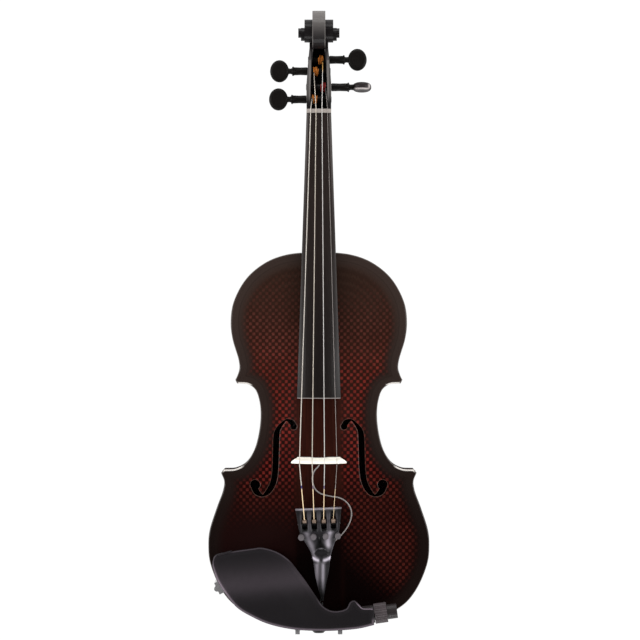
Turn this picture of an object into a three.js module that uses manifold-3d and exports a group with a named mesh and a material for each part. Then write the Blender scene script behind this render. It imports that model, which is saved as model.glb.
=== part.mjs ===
// Electric violin, full size, lying on its back with its strings up.
// Millimetres. +Y runs from the end button to the scroll, +X is the treble side and
// +Z rises out of the belly. Heights count from the plane where the belly meets the ribs,
// and the finished group is set down on the floor at the end.
import * as THREE from 'three';
import { mergeVertices } from 'three/addons/utils/BufferGeometryUtils.js';
import Module from 'manifold-3d';

const wasm = await Module();
wasm.setup();

// Body outline
const bodyLength = 356;
const lowerHalfWidth = 105.4;
const upperWidthShare = 0.79791;
const waistWidthShare = 0.52657;
const upperCornerShare = 0.65646;
const waistTopShare = 0.64663;
const waistBottomShare = 0.41601;
const lowerCornerShare = 0.4073;
const upperHalfWidth = lowerHalfWidth * upperWidthShare;
const waistHalfWidth = lowerHalfWidth * waistWidthShare;
const upperCornerY = bodyLength * upperCornerShare;
const waistTopY = bodyLength * waistTopShare;
const waistBottomY = bodyLength * waistBottomShare;
const lowerCornerY = bodyLength * lowerCornerShare;
const outlineStep = 0.08;
const rowStep = 0.3;
const weldLimit = 0.002;

// Each point is a share of the bout's half width and of its height.
const upperBoutShares = [[0, 1], [0.366, 0.976], [0.605, 0.914], [0.823, 0.789], [0.969, 0.602],
  [1, 0.448], [0.98, 0.321], [0.908, 0.149], [0.901, 0.086], [0.928, 0.026], [0.948, 0]];
const waistShares = [[1.405, 1], [1.216, 0.989], [1.094, 0.931], [1.02, 0.793], [1, 0.621],
  [1.036, 0.405], [1.117, 0.218], [1.259, 0.0714], [1.429, 0.009], [1.631, 0]];
const lowerBoutShares = [[0.885, 1], [0.857, 0.945], [0.866, 0.888], [0.925, 0.769], [0.989, 0.621],
  [1, 0.531], [0.985, 0.411], [0.878, 0.227], [0.747, 0.121], [0.427, 0.018], [0, 0]];

// Plates, ribs and what joins them
const ribHeight = 31;
const ribThickness = 1.2;
const overhang = 2.5;
const upperRibCut = 0.4;
const lowerRibCut = 0.8;
const edgeThickness = 4;
const plateThickness = 3;
const bellyArch = 11.5;
const backArch = 11.5;
const edgePlatform = 5;
const innerBlend = 9;
const glueGap = 0.2;
const clearance = 0.3;
const cutOverrun = 2;
const liningWidth = 2.2;
const liningHeight = 7;
const buttonRadius = 10.5;
const buttonReach = 9;
const plateColumnShares = [0.36, 0.7];

// Sound holes, on the bass side, mirrored for the treble side
const stemHeightShare = 0.20309;
const stemHeight = bodyLength * stemHeightShare;
const upperEyeRadius = 3.1;
const lowerEyeRadius = 4.65;
const lowerEyeShares = [-0.8396, 1.8465];
const upperEyeShares = [-0.3333, 2.6169];
const [lowerEye, upperEye] = [[lowerEyeShares, lowerEyeRadius], [upperEyeShares, upperEyeRadius]]
  .map(([[x, y], radius]) => ({ x: x * stemHeight, y: y * stemHeight, radius }));
const stemWidth = 3.1;
// Each point is across and up in shares of the stem's height from the lower eye's height,
// and its half width is a share of the stem's width.
const stemShares = [[-0.354, 0.842, 0.55], [-0.393, 0.853, 0.37], [-0.42, 0.862, 0.23],
  [-0.456, 0.846, 0.3], [-0.483, 0.826, 0.5], [-0.512, 0.779, 0.7], [-0.541, 0.737, 0.9],
  [-0.555, 0.697, 0.97], [-0.56, 0.592, 0.98], [-0.567, 0.394, 0.98], [-0.575, 0.196, 1],
  [-0.591, 0.104, 0.97], [-0.613, 0.0124, 0.84], [-0.639, -0.0609, 0.65], [-0.679, -0.109, 0.4],
  [-0.732, -0.138, 0.23], [-0.781, -0.13, 0.42], [-0.828, -0.087, 0.68]];

// Blocks, bar and post
const endBlockWidth = 48;
const endBlockDepth = 16;
const cornerBlockReach = 26;
const cornerBlockRise = 18;
const cornerBlockDip = 8;
const barX = -17;
const barWidth = 5.5;
const barDepth = 12;
const barEndDepth = 4;
const barBottomShare = 0.1966;
const barTopShare = 0.8708;
const barBottomY = bodyLength * barBottomShare;
const barTopY = bodyLength * barTopShare;
const bridgeShare = 0.4354;
const bridgeTailY = bodyLength * bridgeShare;
const postX = 20;
const postSetback = 6;
const postY = bridgeTailY - postSetback;
const postRadius = 3.1;

// Fingerboard, neck and nut
const neckLength = 132.4;
const boardLength = 271.9;
const nutY = bodyLength + neckLength;
const fingerboardEndY = nutY - boardLength;
const nutDepth = 3.8;
const nutRise = 0.6;
const boardWidthAtNut = 23.6;
const boardWidthAtEnd = 41.4;
const boardEdge = 4.5;
const boardRadius = 42;
const boardTopAtNut = 2.2;
const boardTopAtBody = 18.5;
const boardFacets = 6;
const neckDepthAtNut = 13.4;
const neckDepthAtHeel = 13;
const heelReach = 29;
const heelY = bodyLength + heelReach;
// How deep the heel still is, along its reach: the first share is of the reach
const heelShares = [[0, 1], [0.207, 0.97], [0.379, 0.8], [0.586, 0.63], [0.828, 0.5]];
const heelWidth = 21;
const rootDepth = 8;
const sectionFacets = 10;

// Pegbox and scroll
const pegboxLength = 71.6;
const pegboxEndY = nutY + pegboxLength;
const pegboxHalfWidth = 12;
const cheek = 3.7;
const pocketStart = 0.8;
const pocketLength = 62.8;
const pocketStartY = nutY + nutDepth + pocketStart;
const pocketEndY = nutY + pocketLength;
const pegboxFloor = 5.5;
const pegboxEndDepth = 46;
// Sections of the pegbox: each first share is of its length from the nut, and the second is of
// its depth at the end, or of its half width
const railShares = [[0.371, 0.185], [0.721, 0.315], [1, 0.522]];
const pegboxBackShares = [[-0.145, 0.424], [-0.075, 0.543], [0.008, 0.652], [0.176, 0.728],
  [0.441, 0.804], [0.721, 0.902], [1, 1]];
const pegboxSideShares = [[-0.145, 0.883], [0, 0.975], [0.371, 1], [0.721, 0.85], [0.888, 0.75], [1, 0.75]];
const shellShares = [-0.145, -0.075, 0, 0.176, 0.371, 0.553, 0.721, 0.888, 1];
const pocketShares = [0, 0.22, 0.49, 0.75, 1];
const scrollReach = 78.7;
const scrollY = nutY + scrollReach;
const scrollRadius = 21;
const scrollDecay = 0.0826;
const scrollTurnHalfWidths = [6.2, 13.8];
const scrollInnerRadius = 6.3;
const scrollInnerDrop = 1.8;
const eyeDrop = 0.5;
const scrollInnerHalfWidth = 17.2;
const eyeRadius = 4.6;
const eyeHalfWidth = 19.8;
const spiralSteps = 28;

// Pegs: how far past the nut and how far below its seat each axis is
const pegReachG = 14;
const pegReachE = 25.8;
const pegReachD = 41.4;
const pegReachA = 52.6;
const pegDropG = 17;
const pegDropE = 19;
const pegDropD = 22;
const pegDropA = 24.4;
const pegOutE = 2.4;
const outerSilkX = 6.2;
const silkXD = 5;
const silkXA = 3.8;
// Each peg: the side that its thumb piece is on, how far out that stands, its turn and which way
// its winding runs out
const pegs = [
  { string: 'g', side: -1, y: nutY + pegReachG, z: -pegDropG, out: 0, roll: 0, silk: -outerSilkX, leads: 1 },
  { string: 'd', side: -1, y: nutY + pegReachD, z: -pegDropD, out: 0, roll: 0.1, silk: -silkXD, leads: 1 },
  { string: 'a', side: 1, y: nutY + pegReachA, z: -pegDropA, out: 0, roll: -0.08, silk: silkXA, leads: -1 },
  { string: 'e', side: 1, y: nutY + pegReachE, z: -pegDropE, out: pegOutE, roll: 1.4, silk: outerSilkX, leads: -1 },
];
const pegTipRadius = 3;
const pegShaftRadius = 3.4;
const pegCollarRadius = 3.9;
const pegCollarLength = 12.9;
const pegRingRadius = 4.6;
const pegRingWidth = 1.4;
const pegNeckRadius = 2.8;
const pegNeckLength = 3.2;
const thumbWidth = 18.2;
const thumbHeight = 21.4;
const thumbThickness = 6.6;
const thumbBevel = 1.6;
const pegFacets = 16;

// String windings on the pegs
const windingTurns = 3;
const windingSteps = 24;
const windingSides = 6;
const windingWire = 0.45;
const windingPitch = 1.4;
const windingLead = 3.5;
const stringStart = 4.8;

// Strings: across the nut, the bridge and the tailpiece
const nutXG = -7.8;
const nutXD = -2.7;
const nutXA = 3;
const nutXE = 8.2;
const bridgeXG = -18.2;
const bridgeXD = -6.3;
const bridgeXA = 5.3;
const bridgeXE = 17;
const stringRadiusG = 0.42;
const stringRadiusD = 0.38;
const stringRadiusA = 0.33;
const stringRadiusE = 0.2;
const strings = {
  g: { nutX: nutXG, bridgeX: bridgeXG, channel: 0, radius: stringRadiusG },
  d: { nutX: nutXD, bridgeX: bridgeXD, channel: 1, radius: stringRadiusD },
  a: { nutX: nutXA, bridgeX: bridgeXA, channel: 2, radius: stringRadiusA },
  e: { nutX: nutXE, bridgeX: bridgeXE, channel: 3, radius: stringRadiusE },
};
const stringGap = 0.2;
const stringSides = 6;

// Bridge and pickup
const bridgeFootDepth = 5.6;
const bridgeCrownDepth = 1.8;
const bridgeWingShare = 0.51233;
const bridgeWingWidth = lowerHalfWidth * bridgeWingShare;
const bridgeHeight = 33.4;
const crownRadius = 42;
const bridgeHalfShares = [[0.3, 0], [0.8, 0], [0.8, 0.09], [0.66, 0.16], [0.62, 0.29], [0.79, 0.37],
  [1, 0.5], [1, 0.62], [0.86, 0.74], [0.77, 0.79], [0.74, 0.85]];
const bridgeArchShares = [[0, 0.3], [0.17, 0.27], [0.25, 0.18]];
const wingChamfer = 7;
const elementWidth = 12;
const elementHeight = 5;
const elementDepth = 2.2;
const elementZ = 38;
const leadRadius = 0.62;
const leadSides = 8;
const leadSteps = 80;
// Each point is across, in shares of the jack's place, along, in shares of the way from the jack to
// the bridge, and up, in shares of the element's height.
const leadShares = [
  [0.0133, 0.9972, 1], [-0.0189, 0.9804, 0.9842], [-0.0644, 0.9609, 0.8684],
  [-0.0985, 0.9344, 0.6842], [-0.1136, 0.8994, 0.5158], [-0.1061, 0.8631, 0.4447],
  [-0.0644, 0.8268, 0.4342], [0.0114, 0.8017, 0.4316], [0.1061, 0.7877, 0.4316],
  [0.2273, 0.7779, 0.4289], [0.3523, 0.7709, 0.4237], [0.4621, 0.7514, 0.4184],
  [0.5455, 0.7179, 0.4105], [0.5852, 0.676, 0.4026], [0.5758, 0.6299, 0.4], [0.5227, 0.581, 0.4],
  [0.4356, 0.5363, 0.4], [0.3295, 0.4972, 0.3947], [0.2121, 0.4595, 0.3895],
  [0.1136, 0.4162, 0.3789], [0.0606, 0.3617, 0.3632], [0.0417, 0.3017, 0.3368],
  [0.0398, 0.2388, 0.3053], [0.0455, 0.183, 0.2763], [0.0492, 0.1341, 0.25],
  [0.0379, 0.0922, 0.2263], [0.0114, 0.0545, 0.2026], [0.0303, 0.0237, 0.1816],
  [0.1212, 0.007, 0.1737], [0.2386, 0.0028, 0.1737], [0.3598, 0.0028, 0.1789],
  [0.4811, 0.0035, 0.1947], [0.572, 0.0063, 0.2342], [0.6402, 0.0119, 0.2974],
  [0.6856, 0.0182, 0.3474]];

// Tailpiece, in its own frame: its top edge at the origin, its tail towards -Y
const tailpieceX = -0.4;
const tailpieceY = 112.2;
const tailpieceZ = 29;
const tailpieceLean = 0.04;
const tailpiecePitch = 0.14;
const tailpieceLength = 90;
const tailpieceHalfWidth = 21.9;
const tailpieceThickness = 7;
const tailpieceSkin = 2.5;
const tailpieceWall = 2;
const tailpieceShares = [[1, 0], [0.97, 0.045], [0.93, 0.167], [0.88, 0.245], [0.8, 0.3], [0.61, 0.4],
  [0.465, 0.485], [0.37, 0.556], [0.32, 0.61], [0.29, 0.69], [0.22, 0.79], [0.155, 0.89], [0.1, 0.98],
  [0.07, 1]];
const pocketEndShare = 0.5;
const channelWidth = 4.9;
const channelPitch = 9.1;
const channelDepth = 1.2;
const channelStart = 3;
const slotStart = 8.4;
const slotEnd = 20.8;
const hollowStart = 29;
const hollowEnd = 48;
const hollowHalfWidth = 7;
const hollowDepth = 1.8;
const hollowWidestShare = 0.6;
const hollowEndShare = 0.8;

// Fine tuners, in the tailpiece's frame
const pivotY = -15.4;
const pivotZ = -4.9;
const axleRadius = 0.7;
const leverWidth = 3.6;
const leverArm = 1.8;
const armThickness = 1;
const armOverlap = 1.8;
const armStart = 1;
const armStraight = 3;
const axleShare = 0.92;
const postBack = 1.6;
const postFront = 1.3;
const postShift = 2;
const hookY = -11.6;
const hookRise = 1.6;
const hookRadius = 1.3;
const screwY = -26.2;
const screwPitch = 11.6;
const screwRadius = 1.1;
const screwGap = 0.35;
const bossRadius = 2.5;
const knobRadius = 2.9;
const knobHeight = 4.4;
const knobLift = 1.2;
const knobTeeth = 12;
const knobTooth = 0.25;

// Saddle, tail cord and end button
const saddleHalfWidth = 17.2;
const saddleDepth = 6.5;
const saddleStart = 0.4;
const saddleRise = 6.6;
const saddleBevel = 1.4;
const cordDrift = 1.6;
const cordRadius = 1;
const buttonZ = -15.5;
const endButtonProfile = [[0, 17.5], [3.1, 17.5], [3.5, 2.4], [5.4, 2.2], [5.4, 0.8], [4.1, -1.2],
  [4.3, -2.6], [6.2, -4.2], [6.2, -7.6], [4.6, -9.3], [0, -9.5]];
const endButtonHole = 3.9;

// Chin rest: its edges are shares of its length and depth, from its lower left corner
const chinStartShare = 0.95636;
const chinLengthShare = 1.45256;
const chinLeftX = -lowerHalfWidth * chinStartShare;
const chinLength = lowerHalfWidth * chinLengthShare;
const chinBottomY = -2.4;
const chinDepth = 77.7;
const chinThickness = 4.4;
const chinDish = 4.5;
const chinHeightLeft = 25.5;
const chinHeightRight = 29.4;
const chinColumns = 6;
const chinRampShares = [0.35, 0.75];
const chinDishStartShares = [0, 0.1];
const chinDishEndShares = [0.4, 0.7];
const chinUpperShares = [[0, 0.794], [0.033, 0.878], [0.118, 0.945], [0.253, 0.987], [0.3, 1],
  [0.395, 0.951], [0.472, 0.853], [0.529, 0.718], [0.585, 0.57], [0.643, 0.399], [0.681, 0.288],
  [0.728, 0.221], [0.777, 0.208], [0.834, 0.239], [0.858, 0.313], [0.881, 0.331], [0.909, 0.282],
  [0.929, 0.246], [0.986, 0.264], [1, 0.25]];
const chinLowerShares = [[0, 0.767], [0.024, 0.619], [0.081, 0.435], [0.157, 0.27], [0.253, 0.16],
  [0.347, 0.08], [0.491, 0.018], [0.662, 0], [0.777, 0.006], [0.909, 0.031], [1, 0.073]];
const footInnerX = 17.9;
const footOuterShare = 0.31784;
const footOuterX = lowerHalfWidth * footOuterShare;
const footStartY = 1.4;
const footDrop = 2;
const footEndY = 11;
const corkTop = 8.6;
const corkNotch = 9.5;
const reliefStart = 1;
const reliefReach = 4;
const reliefDepth = 1.6;

// Clamps that hold the chin rest
const hookX = 20.2;
const barrelY = -4.6;
const rodRadius = 1.5;
const prongZ = 16;
const prongReach = 4;
const prongWidth = 4.2;
const barrelRadius = 2.8;
const barrelTop = -5;
const barrelBottom = -27;
const rodGrip = 6;
const kneeOut = 1.4;
const kneeRise = 0.6;
const clampFootDrop = 3;
const clampFootReach = 9;
const barrelFacets = 12;
const sideClampY = 36;
const sideClampWidth = 12;
const sideClampReach = 7;
const sideClampWeb = 2.4;
const sideClampGap = 0.7;
const sideClampStep = 3;
const sideClampFinger = 2.6;
const sideBarrelRadius = 2.7;

// Jack, along its own axis, which leans towards the scroll
const jackShare = 0.50095;
const jackX = lowerHalfWidth * jackShare;
const jackY = 11.8;
const jackZ = 15.2;
const jackLean = 0.14;
const housingRadius = 8.6;
const housingLength = 15.6;
const housingBore = 6.4;
const jackNutRadius = 9.6;
const jackNutLength = 12;
const jackNutTeeth = 30;
const jackNutTooth = 0.35;
const bushingRadius = 6;
const bushingTail = 7;
const collarRadius = 7.1;
const collarLength = 9.4;
const socketRadius = 3.3;
const contactLength = 9;
const contactThickness = 0.6;
const contactWidth = 3;
const bracketSetback = 14.8;
const bracketLength = 8;
const bracketStartX = jackX - bracketSetback;
const bracketEndX = bracketStartX + bracketLength;
const bracketOuterY = 0.2;
const bracketWeb = 1.2;
const bracketInnerY = 10;
const bracketFinger = 2.6;
const roundFacets = 28;

// Materials
function finish(color, roughness, metalness = 0) {
  return new THREE.MeshStandardMaterial({ color, roughness, metalness });
}
const varnish = finish(0x3a1710, 0.3);
const darkVarnish = finish(0x1d1210, 0.32);
const bareSpruce = finish(0xcaa772, 0.7);
const bareMaple = finish(0xc79f68, 0.65);
const ebony = finish(0x131112, 0.4);
const bone = finish(0xd9d4c8, 0.45);
const bridgeMaple = finish(0xefe6d0, 0.55);
const composite = finish(0x1a191b, 0.42);
const chinRestBlack = finish(0x151517, 0.6);
const steel = finish(0xb9bbbf, 0.25, 1);
const blackMetal = finish(0x17171a, 0.35, 0.8);
const brassy = finish(0xb08a3c, 0.35, 1);
const silk = finish(0xc07a2c, 0.7);
const redSilk = finish(0x8c1e20, 0.7);
const wound = finish(0xc9c4bb, 0.3, 0.9);
const cork = finish(0xa9794a, 0.9);
const cordPlastic = finish(0x8b8784, 0.5);
const tailCordPlastic = finish(0x101012, 0.5);

// Geometry helpers
function solid(geometry) {
  const bare = geometry.clone();
  bare.deleteAttribute('normal');
  bare.deleteAttribute('uv');
  const merged = mergeVertices(bare, 1e-4);
  const index = merged.index.array;
  const kept = [];
  for (let i = 0; i < index.length; i += 3) {
    const [a, b, c] = [index[i], index[i + 1], index[i + 2]];
    if (a !== b && b !== c && c !== a) kept.push(a, b, c);
  }
  const vertProperties = new Float32Array(merged.attributes.position.array);
  return new wasm.Manifold(new wasm.Mesh({ numProp: 3, vertProperties, triVerts: new Uint32Array(kept) }));
}

function surface(manifold) {
  const mesh = manifold.simplify(weldLimit).getMesh();
  const geometry = new THREE.BufferGeometry();
  geometry.setAttribute('position', new THREE.BufferAttribute(new Float32Array(mesh.vertProperties), 3));
  geometry.setIndex(new THREE.BufferAttribute(new Uint32Array(mesh.triVerts), 1));
  geometry.computeVertexNormals();
  return geometry;
}

function pointsGeometry(positions, triangles) {
  const geometry = new THREE.BufferGeometry();
  geometry.setAttribute('position', new THREE.BufferAttribute(new Float32Array(positions.flat()), 3));
  geometry.setIndex(triangles);
  return geometry;
}

function block(x0, x1, y0, y1, z0, z1) {
  const geometry = new THREE.BoxGeometry(x1 - x0, y1 - y0, z1 - z0);
  geometry.translate((x0 + x1) / 2, (y0 + y1) / 2, (z0 + z1) / 2);
  return solid(geometry);
}

function prism(outline, z0, z1) {
  const shape = new THREE.Shape(outline.map(([x, y]) => new THREE.Vector2(x, y)));
  const geometry = new THREE.ExtrudeGeometry(shape, { depth: z1 - z0, bevelEnabled: false });
  geometry.translate(0, 0, z0);
  return solid(geometry);
}

// A round bar from one point along an axis, or a cone where its radii differ.
function rod(axis, start, end, at, radius, endRadius = radius, facets = barrelFacets) {
  const geometry = new THREE.CylinderGeometry(endRadius, radius, end - start, facets);
  geometry.translate(0, (start + end) / 2, 0);
  if (axis === 'x') geometry.rotateZ(-Math.PI / 2);
  if (axis === 'z') geometry.rotateX(Math.PI / 2);
  geometry.translate(at[0], at[1], at[2]);
  return solid(geometry);
}

// A turned piece whose profile is [radius, place along the axis], the axis being X or Y.
function turned(profile, axis, facets) {
  const points = profile.map(([radius, along]) => new THREE.Vector2(radius, along));
  const geometry = new THREE.LatheGeometry(points, facets);
  if (axis === 'x') geometry.rotateZ(-Math.PI / 2);
  let piece = solid(geometry);
  if (piece.volume() < 0) {
    const index = geometry.index.array;
    for (let i = 0; i < index.length; i += 3) [index[i], index[i + 1]] = [index[i + 1], index[i]];
    piece = solid(geometry);
  }
  return piece;
}

// A skin through rings of points with flat ends. Every ring has the same number of points.
function loft(rings) {
  const count = rings[0].length;
  const positions = rings.flat();
  const triangles = [];
  for (let r = 0; r + 1 < rings.length; r += 1) {
    for (let i = 0; i < count; i += 1) {
      const next = (i + 1) % count;
      const [a, b] = [r * count + i, r * count + next];
      const [c, d] = [a + count, b + count];
      triangles.push(a, b, d, a, d, c);
    }
  }
  const last = (rings.length - 1) * count;
  for (let i = 1; i + 1 < count; i += 1) {
    triangles.push(0, i + 1, i, last, last + i, last + i + 1);
  }
  const geometry = pointsGeometry(positions, triangles);
  const piece = solid(geometry);
  if (piece.volume() > 0) return piece;
  for (let i = 0; i < triangles.length; i += 3) {
    [triangles[i], triangles[i + 1]] = [triangles[i + 1], triangles[i]];
  }
  return solid(pointsGeometry(positions, triangles));
}

// A round tube through every point given.
function tube(route, radius, sides) {
  const points = route.map((p) => new THREE.Vector3(...p));
  const normal = new THREE.Vector3();
  const rings = points.map((point, i) => {
    const before = points[Math.max(i - 1, 0)];
    const after = points[Math.min(i + 1, points.length - 1)];
    const along = after.clone().sub(before).normalize();
    if (i === 0) normal.set(0, 0, 1).cross(along);
    if (normal.lengthSq() < 1e-6) normal.set(1, 0, 0);
    normal.addScaledVector(along, -normal.dot(along)).normalize();
    const other = along.clone().cross(normal);
    return Array.from({ length: sides }, (_, k) => {
      const angle = (2 * Math.PI * k) / sides;
      return point.clone().addScaledVector(normal, radius * Math.cos(angle))
        .addScaledVector(other, radius * Math.sin(angle)).toArray();
    });
  });
  return loft(rings);
}

// What is left of a piece once the crumbs that a cut makes are dropped
function largest(piece) {
  return piece.decompose().reduce((a, b) => (a.volume() > b.volume() ? a : b));
}

function smoothstep(low, high, value) {
  const share = Math.min(Math.max((value - low) / (high - low), 0), 1);
  return share * share * (3 - 2 * share);
}

function between(pairs, at) {
  for (let i = 0; i + 1 < pairs.length; i += 1) {
    const [[x0, y0], [x1, y1]] = [pairs[i], pairs[i + 1]];
    if (at <= x1) return y0 + ((y1 - y0) * Math.max(at - x0, 0)) / (x1 - x0);
  }
  return pairs[pairs.length - 1][1];
}

function mirrored(points) {
  return points.map(([x, y]) => [-x, y]).reverse();
}

const violin = new THREE.Group();

function add(name, piece, material, parent = violin) {
  const mesh = new THREE.Mesh(surface(piece), material);
  mesh.name = name;
  parent.add(mesh);
  return mesh;
}

// Outline of the body's treble half, from the top centre to the bottom centre
function boutCurve(shares, halfWidth, bottom, top, steps) {
  const points = shares.map(([x, y]) => new THREE.Vector3(x * halfWidth, bottom + y * (top - bottom), 0));
  return new THREE.CatmullRomCurve3(points, false, 'centripetal').getPoints(steps).map((p) => [p.x, p.y]);
}

const boutSteps = 17;
const lowerBoutSteps = 19;
const halfOutline = [
  ...boutCurve(upperBoutShares, upperHalfWidth, upperCornerY, bodyLength, boutSteps),
  ...boutCurve(waistShares, waistHalfWidth, waistBottomY, waistTopY, boutSteps),
  ...boutCurve(lowerBoutShares, lowerHalfWidth, 0, lowerCornerY, lowerBoutSteps),
];
for (let i = 1; i < halfOutline.length; i += 1) {
  halfOutline[i][1] = Math.min(halfOutline[i][1], halfOutline[i - 1][1] - rowStep);
}

function distanceToEdge(x, y) {
  let nearest = Infinity;
  for (let i = 0; i + 1 < halfOutline.length; i += 1) {
    const [[ax, ay], [bx, by]] = [halfOutline[i], halfOutline[i + 1]];
    const [dx, dy] = [bx - ax, by - ay];
    const along = ((Math.abs(x) - ax) * dx + (y - ay) * dy) / (dx * dx + dy * dy);
    const share = Math.min(Math.max(along, 0), 1);
    nearest = Math.min(nearest, Math.hypot(Math.abs(x) - ax - share * dx, y - ay - share * dy));
  }
  return nearest;
}

// Height of a plate's outer face above its glued face
function archHeight(x, y, arch) {
  const centre = Math.max(distanceToEdge(0, y) - edgePlatform, outlineStep);
  const across = Math.min(Math.max((distanceToEdge(x, y) - edgePlatform) / centre, 0), 1);
  const half = bodyLength / 2 - edgePlatform;
  const along = Math.min(Math.max((Math.min(y, bodyLength - y) - edgePlatform) / half, 0), 1);
  const lengthways = 1 - (1 - along) ** 3;
  return edgeThickness + arch * lengthways * (0.5 - 0.5 * Math.cos(Math.PI * across));
}

function archUnderside(x, y, arch) {
  const hollow = smoothstep(edgePlatform + cutOverrun, edgePlatform + innerBlend, distanceToEdge(x, y));
  return (archHeight(x, y, arch) - plateThickness) * hollow;
}

// One arched plate. Its rows run across the body and its columns down it.
function archedPlate(arch, place, flipped) {
  const positions = [];
  const columns = plateColumnShares.length * 2 + 5;
  for (const [half, y] of halfOutline) {
    const field = half - Math.min(edgePlatform, half / 2);
    const right = [0, ...plateColumnShares.map((share) => share * field), field, half];
    const row = [...right.slice(1).reverse().map((x) => -x), ...right];
    for (const x of row) positions.push([x, y, place(archHeight(x, y, arch))]);
    for (const x of row) positions.push([x, y, place(archUnderside(x, y, arch))]);
  }
  const triangles = [];
  const face = (a, b, c) => triangles.push(...(flipped ? [a, c, b] : [a, b, c]));
  for (let r = 0; r + 1 < halfOutline.length; r += 1) {
    const top = r * columns * 2;
    const low = top + columns;
    const step = columns * 2;
    for (let i = 0; i + 1 < columns; i += 1) {
      face(top + i, top + i + step, top + i + 1 + step);
      face(top + i, top + i + 1 + step, top + i + 1);
      face(low + i, low + i + 1 + step, low + i + step);
      face(low + i, low + i + 1, low + i + 1 + step);
    }
    const end = columns - 1;
    face(top + step, top, low);
    face(top + step, low, low + step);
    face(top + end, top + end + step, low + end + step);
    face(top + end, low + end + step, low + end);
  }
  return solid(pointsGeometry(positions, triangles));
}

// Where two lines cross, each given as a point on it and its direction
function crossing([px, py, dx, dy], [qx, qy, ex, ey]) {
  const turn = dx * ey - dy * ex;
  const share = Math.abs(turn) < 1e-6 ? 0 : ((qx - px) * ey - (qy - py) * ex) / turn;
  return Math.abs(turn) < 1e-6 ? [qx, qy] : [px + share * dx, py + share * dy];
}

// The outline drawn in by a distance, as one closed loop
function insetOutline(distance) {
  const lines = halfOutline.slice(1).map(([x, y], i) => {
    const [ax, ay] = halfOutline[i];
    const length = Math.hypot(x - ax, y - ay);
    const [dx, dy] = [(x - ax) / length, (y - ay) / length];
    return [ax + dy * distance, ay - dx * distance, dx, dy];
  });
  const middle = [0, 0, 0, 1];
  const half = [crossing(lines[0], middle)];
  let current = 0;
  for (let i = 1; i < lines.length; i += 1) {
    const corner = crossing(lines[i - 1], lines[i]);
    if (distanceToEdge(...corner) > distance - outlineStep) {
      if (current !== i - 1) half.push(crossing(lines[current], lines[i - 1]));
      half.push(corner);
      current = i;
    }
  }
  half.push(crossing(lines[current], middle));
  const clear = half.filter(([x, y], i) => i === 0
    || Math.hypot(x - half[i - 1][0], y - half[i - 1][1]) > outlineStep);
  return [...clear, ...mirrored(clear).slice(1, -1)];
}

function ring(outer, inner, z0, z1) {
  return prism(insetOutline(outer), z0, z1)
    .subtract(prism(insetOutline(inner), z0 - cutOverrun, z1 + cutOverrun));
}

// Heights of the fingerboard's top and of the face that it is glued to
const boardSlope = (boardTopAtBody - boardTopAtNut) / (nutY - bodyLength);
const boardTop = (y) => boardTopAtNut + (nutY - y) * boardSlope;
const boardHalf = (y) => (boardWidthAtNut
  + ((nutY - y) * (boardWidthAtEnd - boardWidthAtNut)) / (nutY - fingerboardEndY)) / 2;
const sagitta = (radius, half) => radius - Math.sqrt(radius * radius - half * half);
const seatAt = (y) => boardTop(y) - boardEdge - sagitta(boardRadius, boardHalf(y));
const boardSeat = (y) => seatAt(nutY)
  + ((seatAt(fingerboardEndY) - seatAt(nutY)) * (nutY - y)) / (nutY - fingerboardEndY);
const floorZ = -ribHeight - edgeThickness - backArch;

// Neck: root in the block, heel, shaft, pegbox and scroll in one piece of maple
const alongPegbox = (share) => nutY + share * pegboxLength;
const pegboxRail = [[nutY, boardSeat(nutY)],
  ...railShares.map(([along, depth]) => [alongPegbox(along), -depth * pegboxEndDepth])];
const pegboxBack = pegboxBackShares.map(([along, depth]) => [alongPegbox(along), -depth * pegboxEndDepth]);
const pegboxSides = pegboxSideShares.map(([along, half]) => [alongPegbox(along), half * pegboxHalfWidth]);

function neckSection(y, half, top, depth) {
  return Array.from({ length: sectionFacets + 1 }, (_, i) => {
    const angle = Math.PI * (i / sectionFacets);
    return [half * Math.cos(angle), y, top - depth * Math.sin(angle) ** 0.75];
  });
}

function neckShaft() {
  const rootY = bodyLength - overhang + glueGap;
  const heelBottom = -ribHeight + glueGap;
  const heelDepth = boardSeat(rootY) - heelBottom;
  const heelSteps = heelShares.map(([along, depth]) => [rootY + along * heelReach, depth]);
  const rings = heelSteps.map(([y, share]) => neckSection(y, boardHalf(y) - clearance,
    boardSeat(y) - glueGap, heelDepth * share));
  for (const [y, depth] of [[heelY, neckDepthAtHeel], [nutY, neckDepthAtNut], [nutY + nutDepth,
    neckDepthAtNut]]) {
    rings.push(neckSection(y, boardHalf(y) - clearance, boardSeat(Math.min(y, nutY)) - glueGap, depth));
  }
  return loft(rings);
}

function neckRoot(grow) {
  const top = boardSeat(bodyLength) - glueGap;
  const front = bodyLength - overhang - rootDepth - grow;
  const back = bodyLength - overhang + 2 * glueGap + (grow > 0 ? overhang + cutOverrun : 0);
  const wide = boardHalf(bodyLength) - clearance + grow;
  const narrow = heelWidth / 2 + grow;
  const low = -ribHeight + glueGap - (grow > 0 ? 2 * glueGap : 0);
  const high = top + grow;
  const ringAt = (y) => [[-narrow, y, low], [narrow, y, low], [wide, y, high], [-wide, y, high]];
  return loft([ringAt(front), ringAt(back)]);
}

function pegboxShell() {
  const ys = [...shellShares.map(alongPegbox), nutY + nutDepth].sort((a, b) => a - b);
  return loft(ys.map((y) => {
    const half = between(pegboxSides, y);
    const top = y < nutY + nutDepth ? boardSeat(Math.min(y, nutY)) - glueGap : between(pegboxRail, y);
    const low = between(pegboxBack, y);
    const chamfer = pegboxFloor / 2;
    return [[half, y, top], [half, y, low + chamfer], [half - chamfer, y, low], [chamfer - half, y, low],
      [-half, y, low + chamfer], [-half, y, top]];
  }));
}

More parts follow.
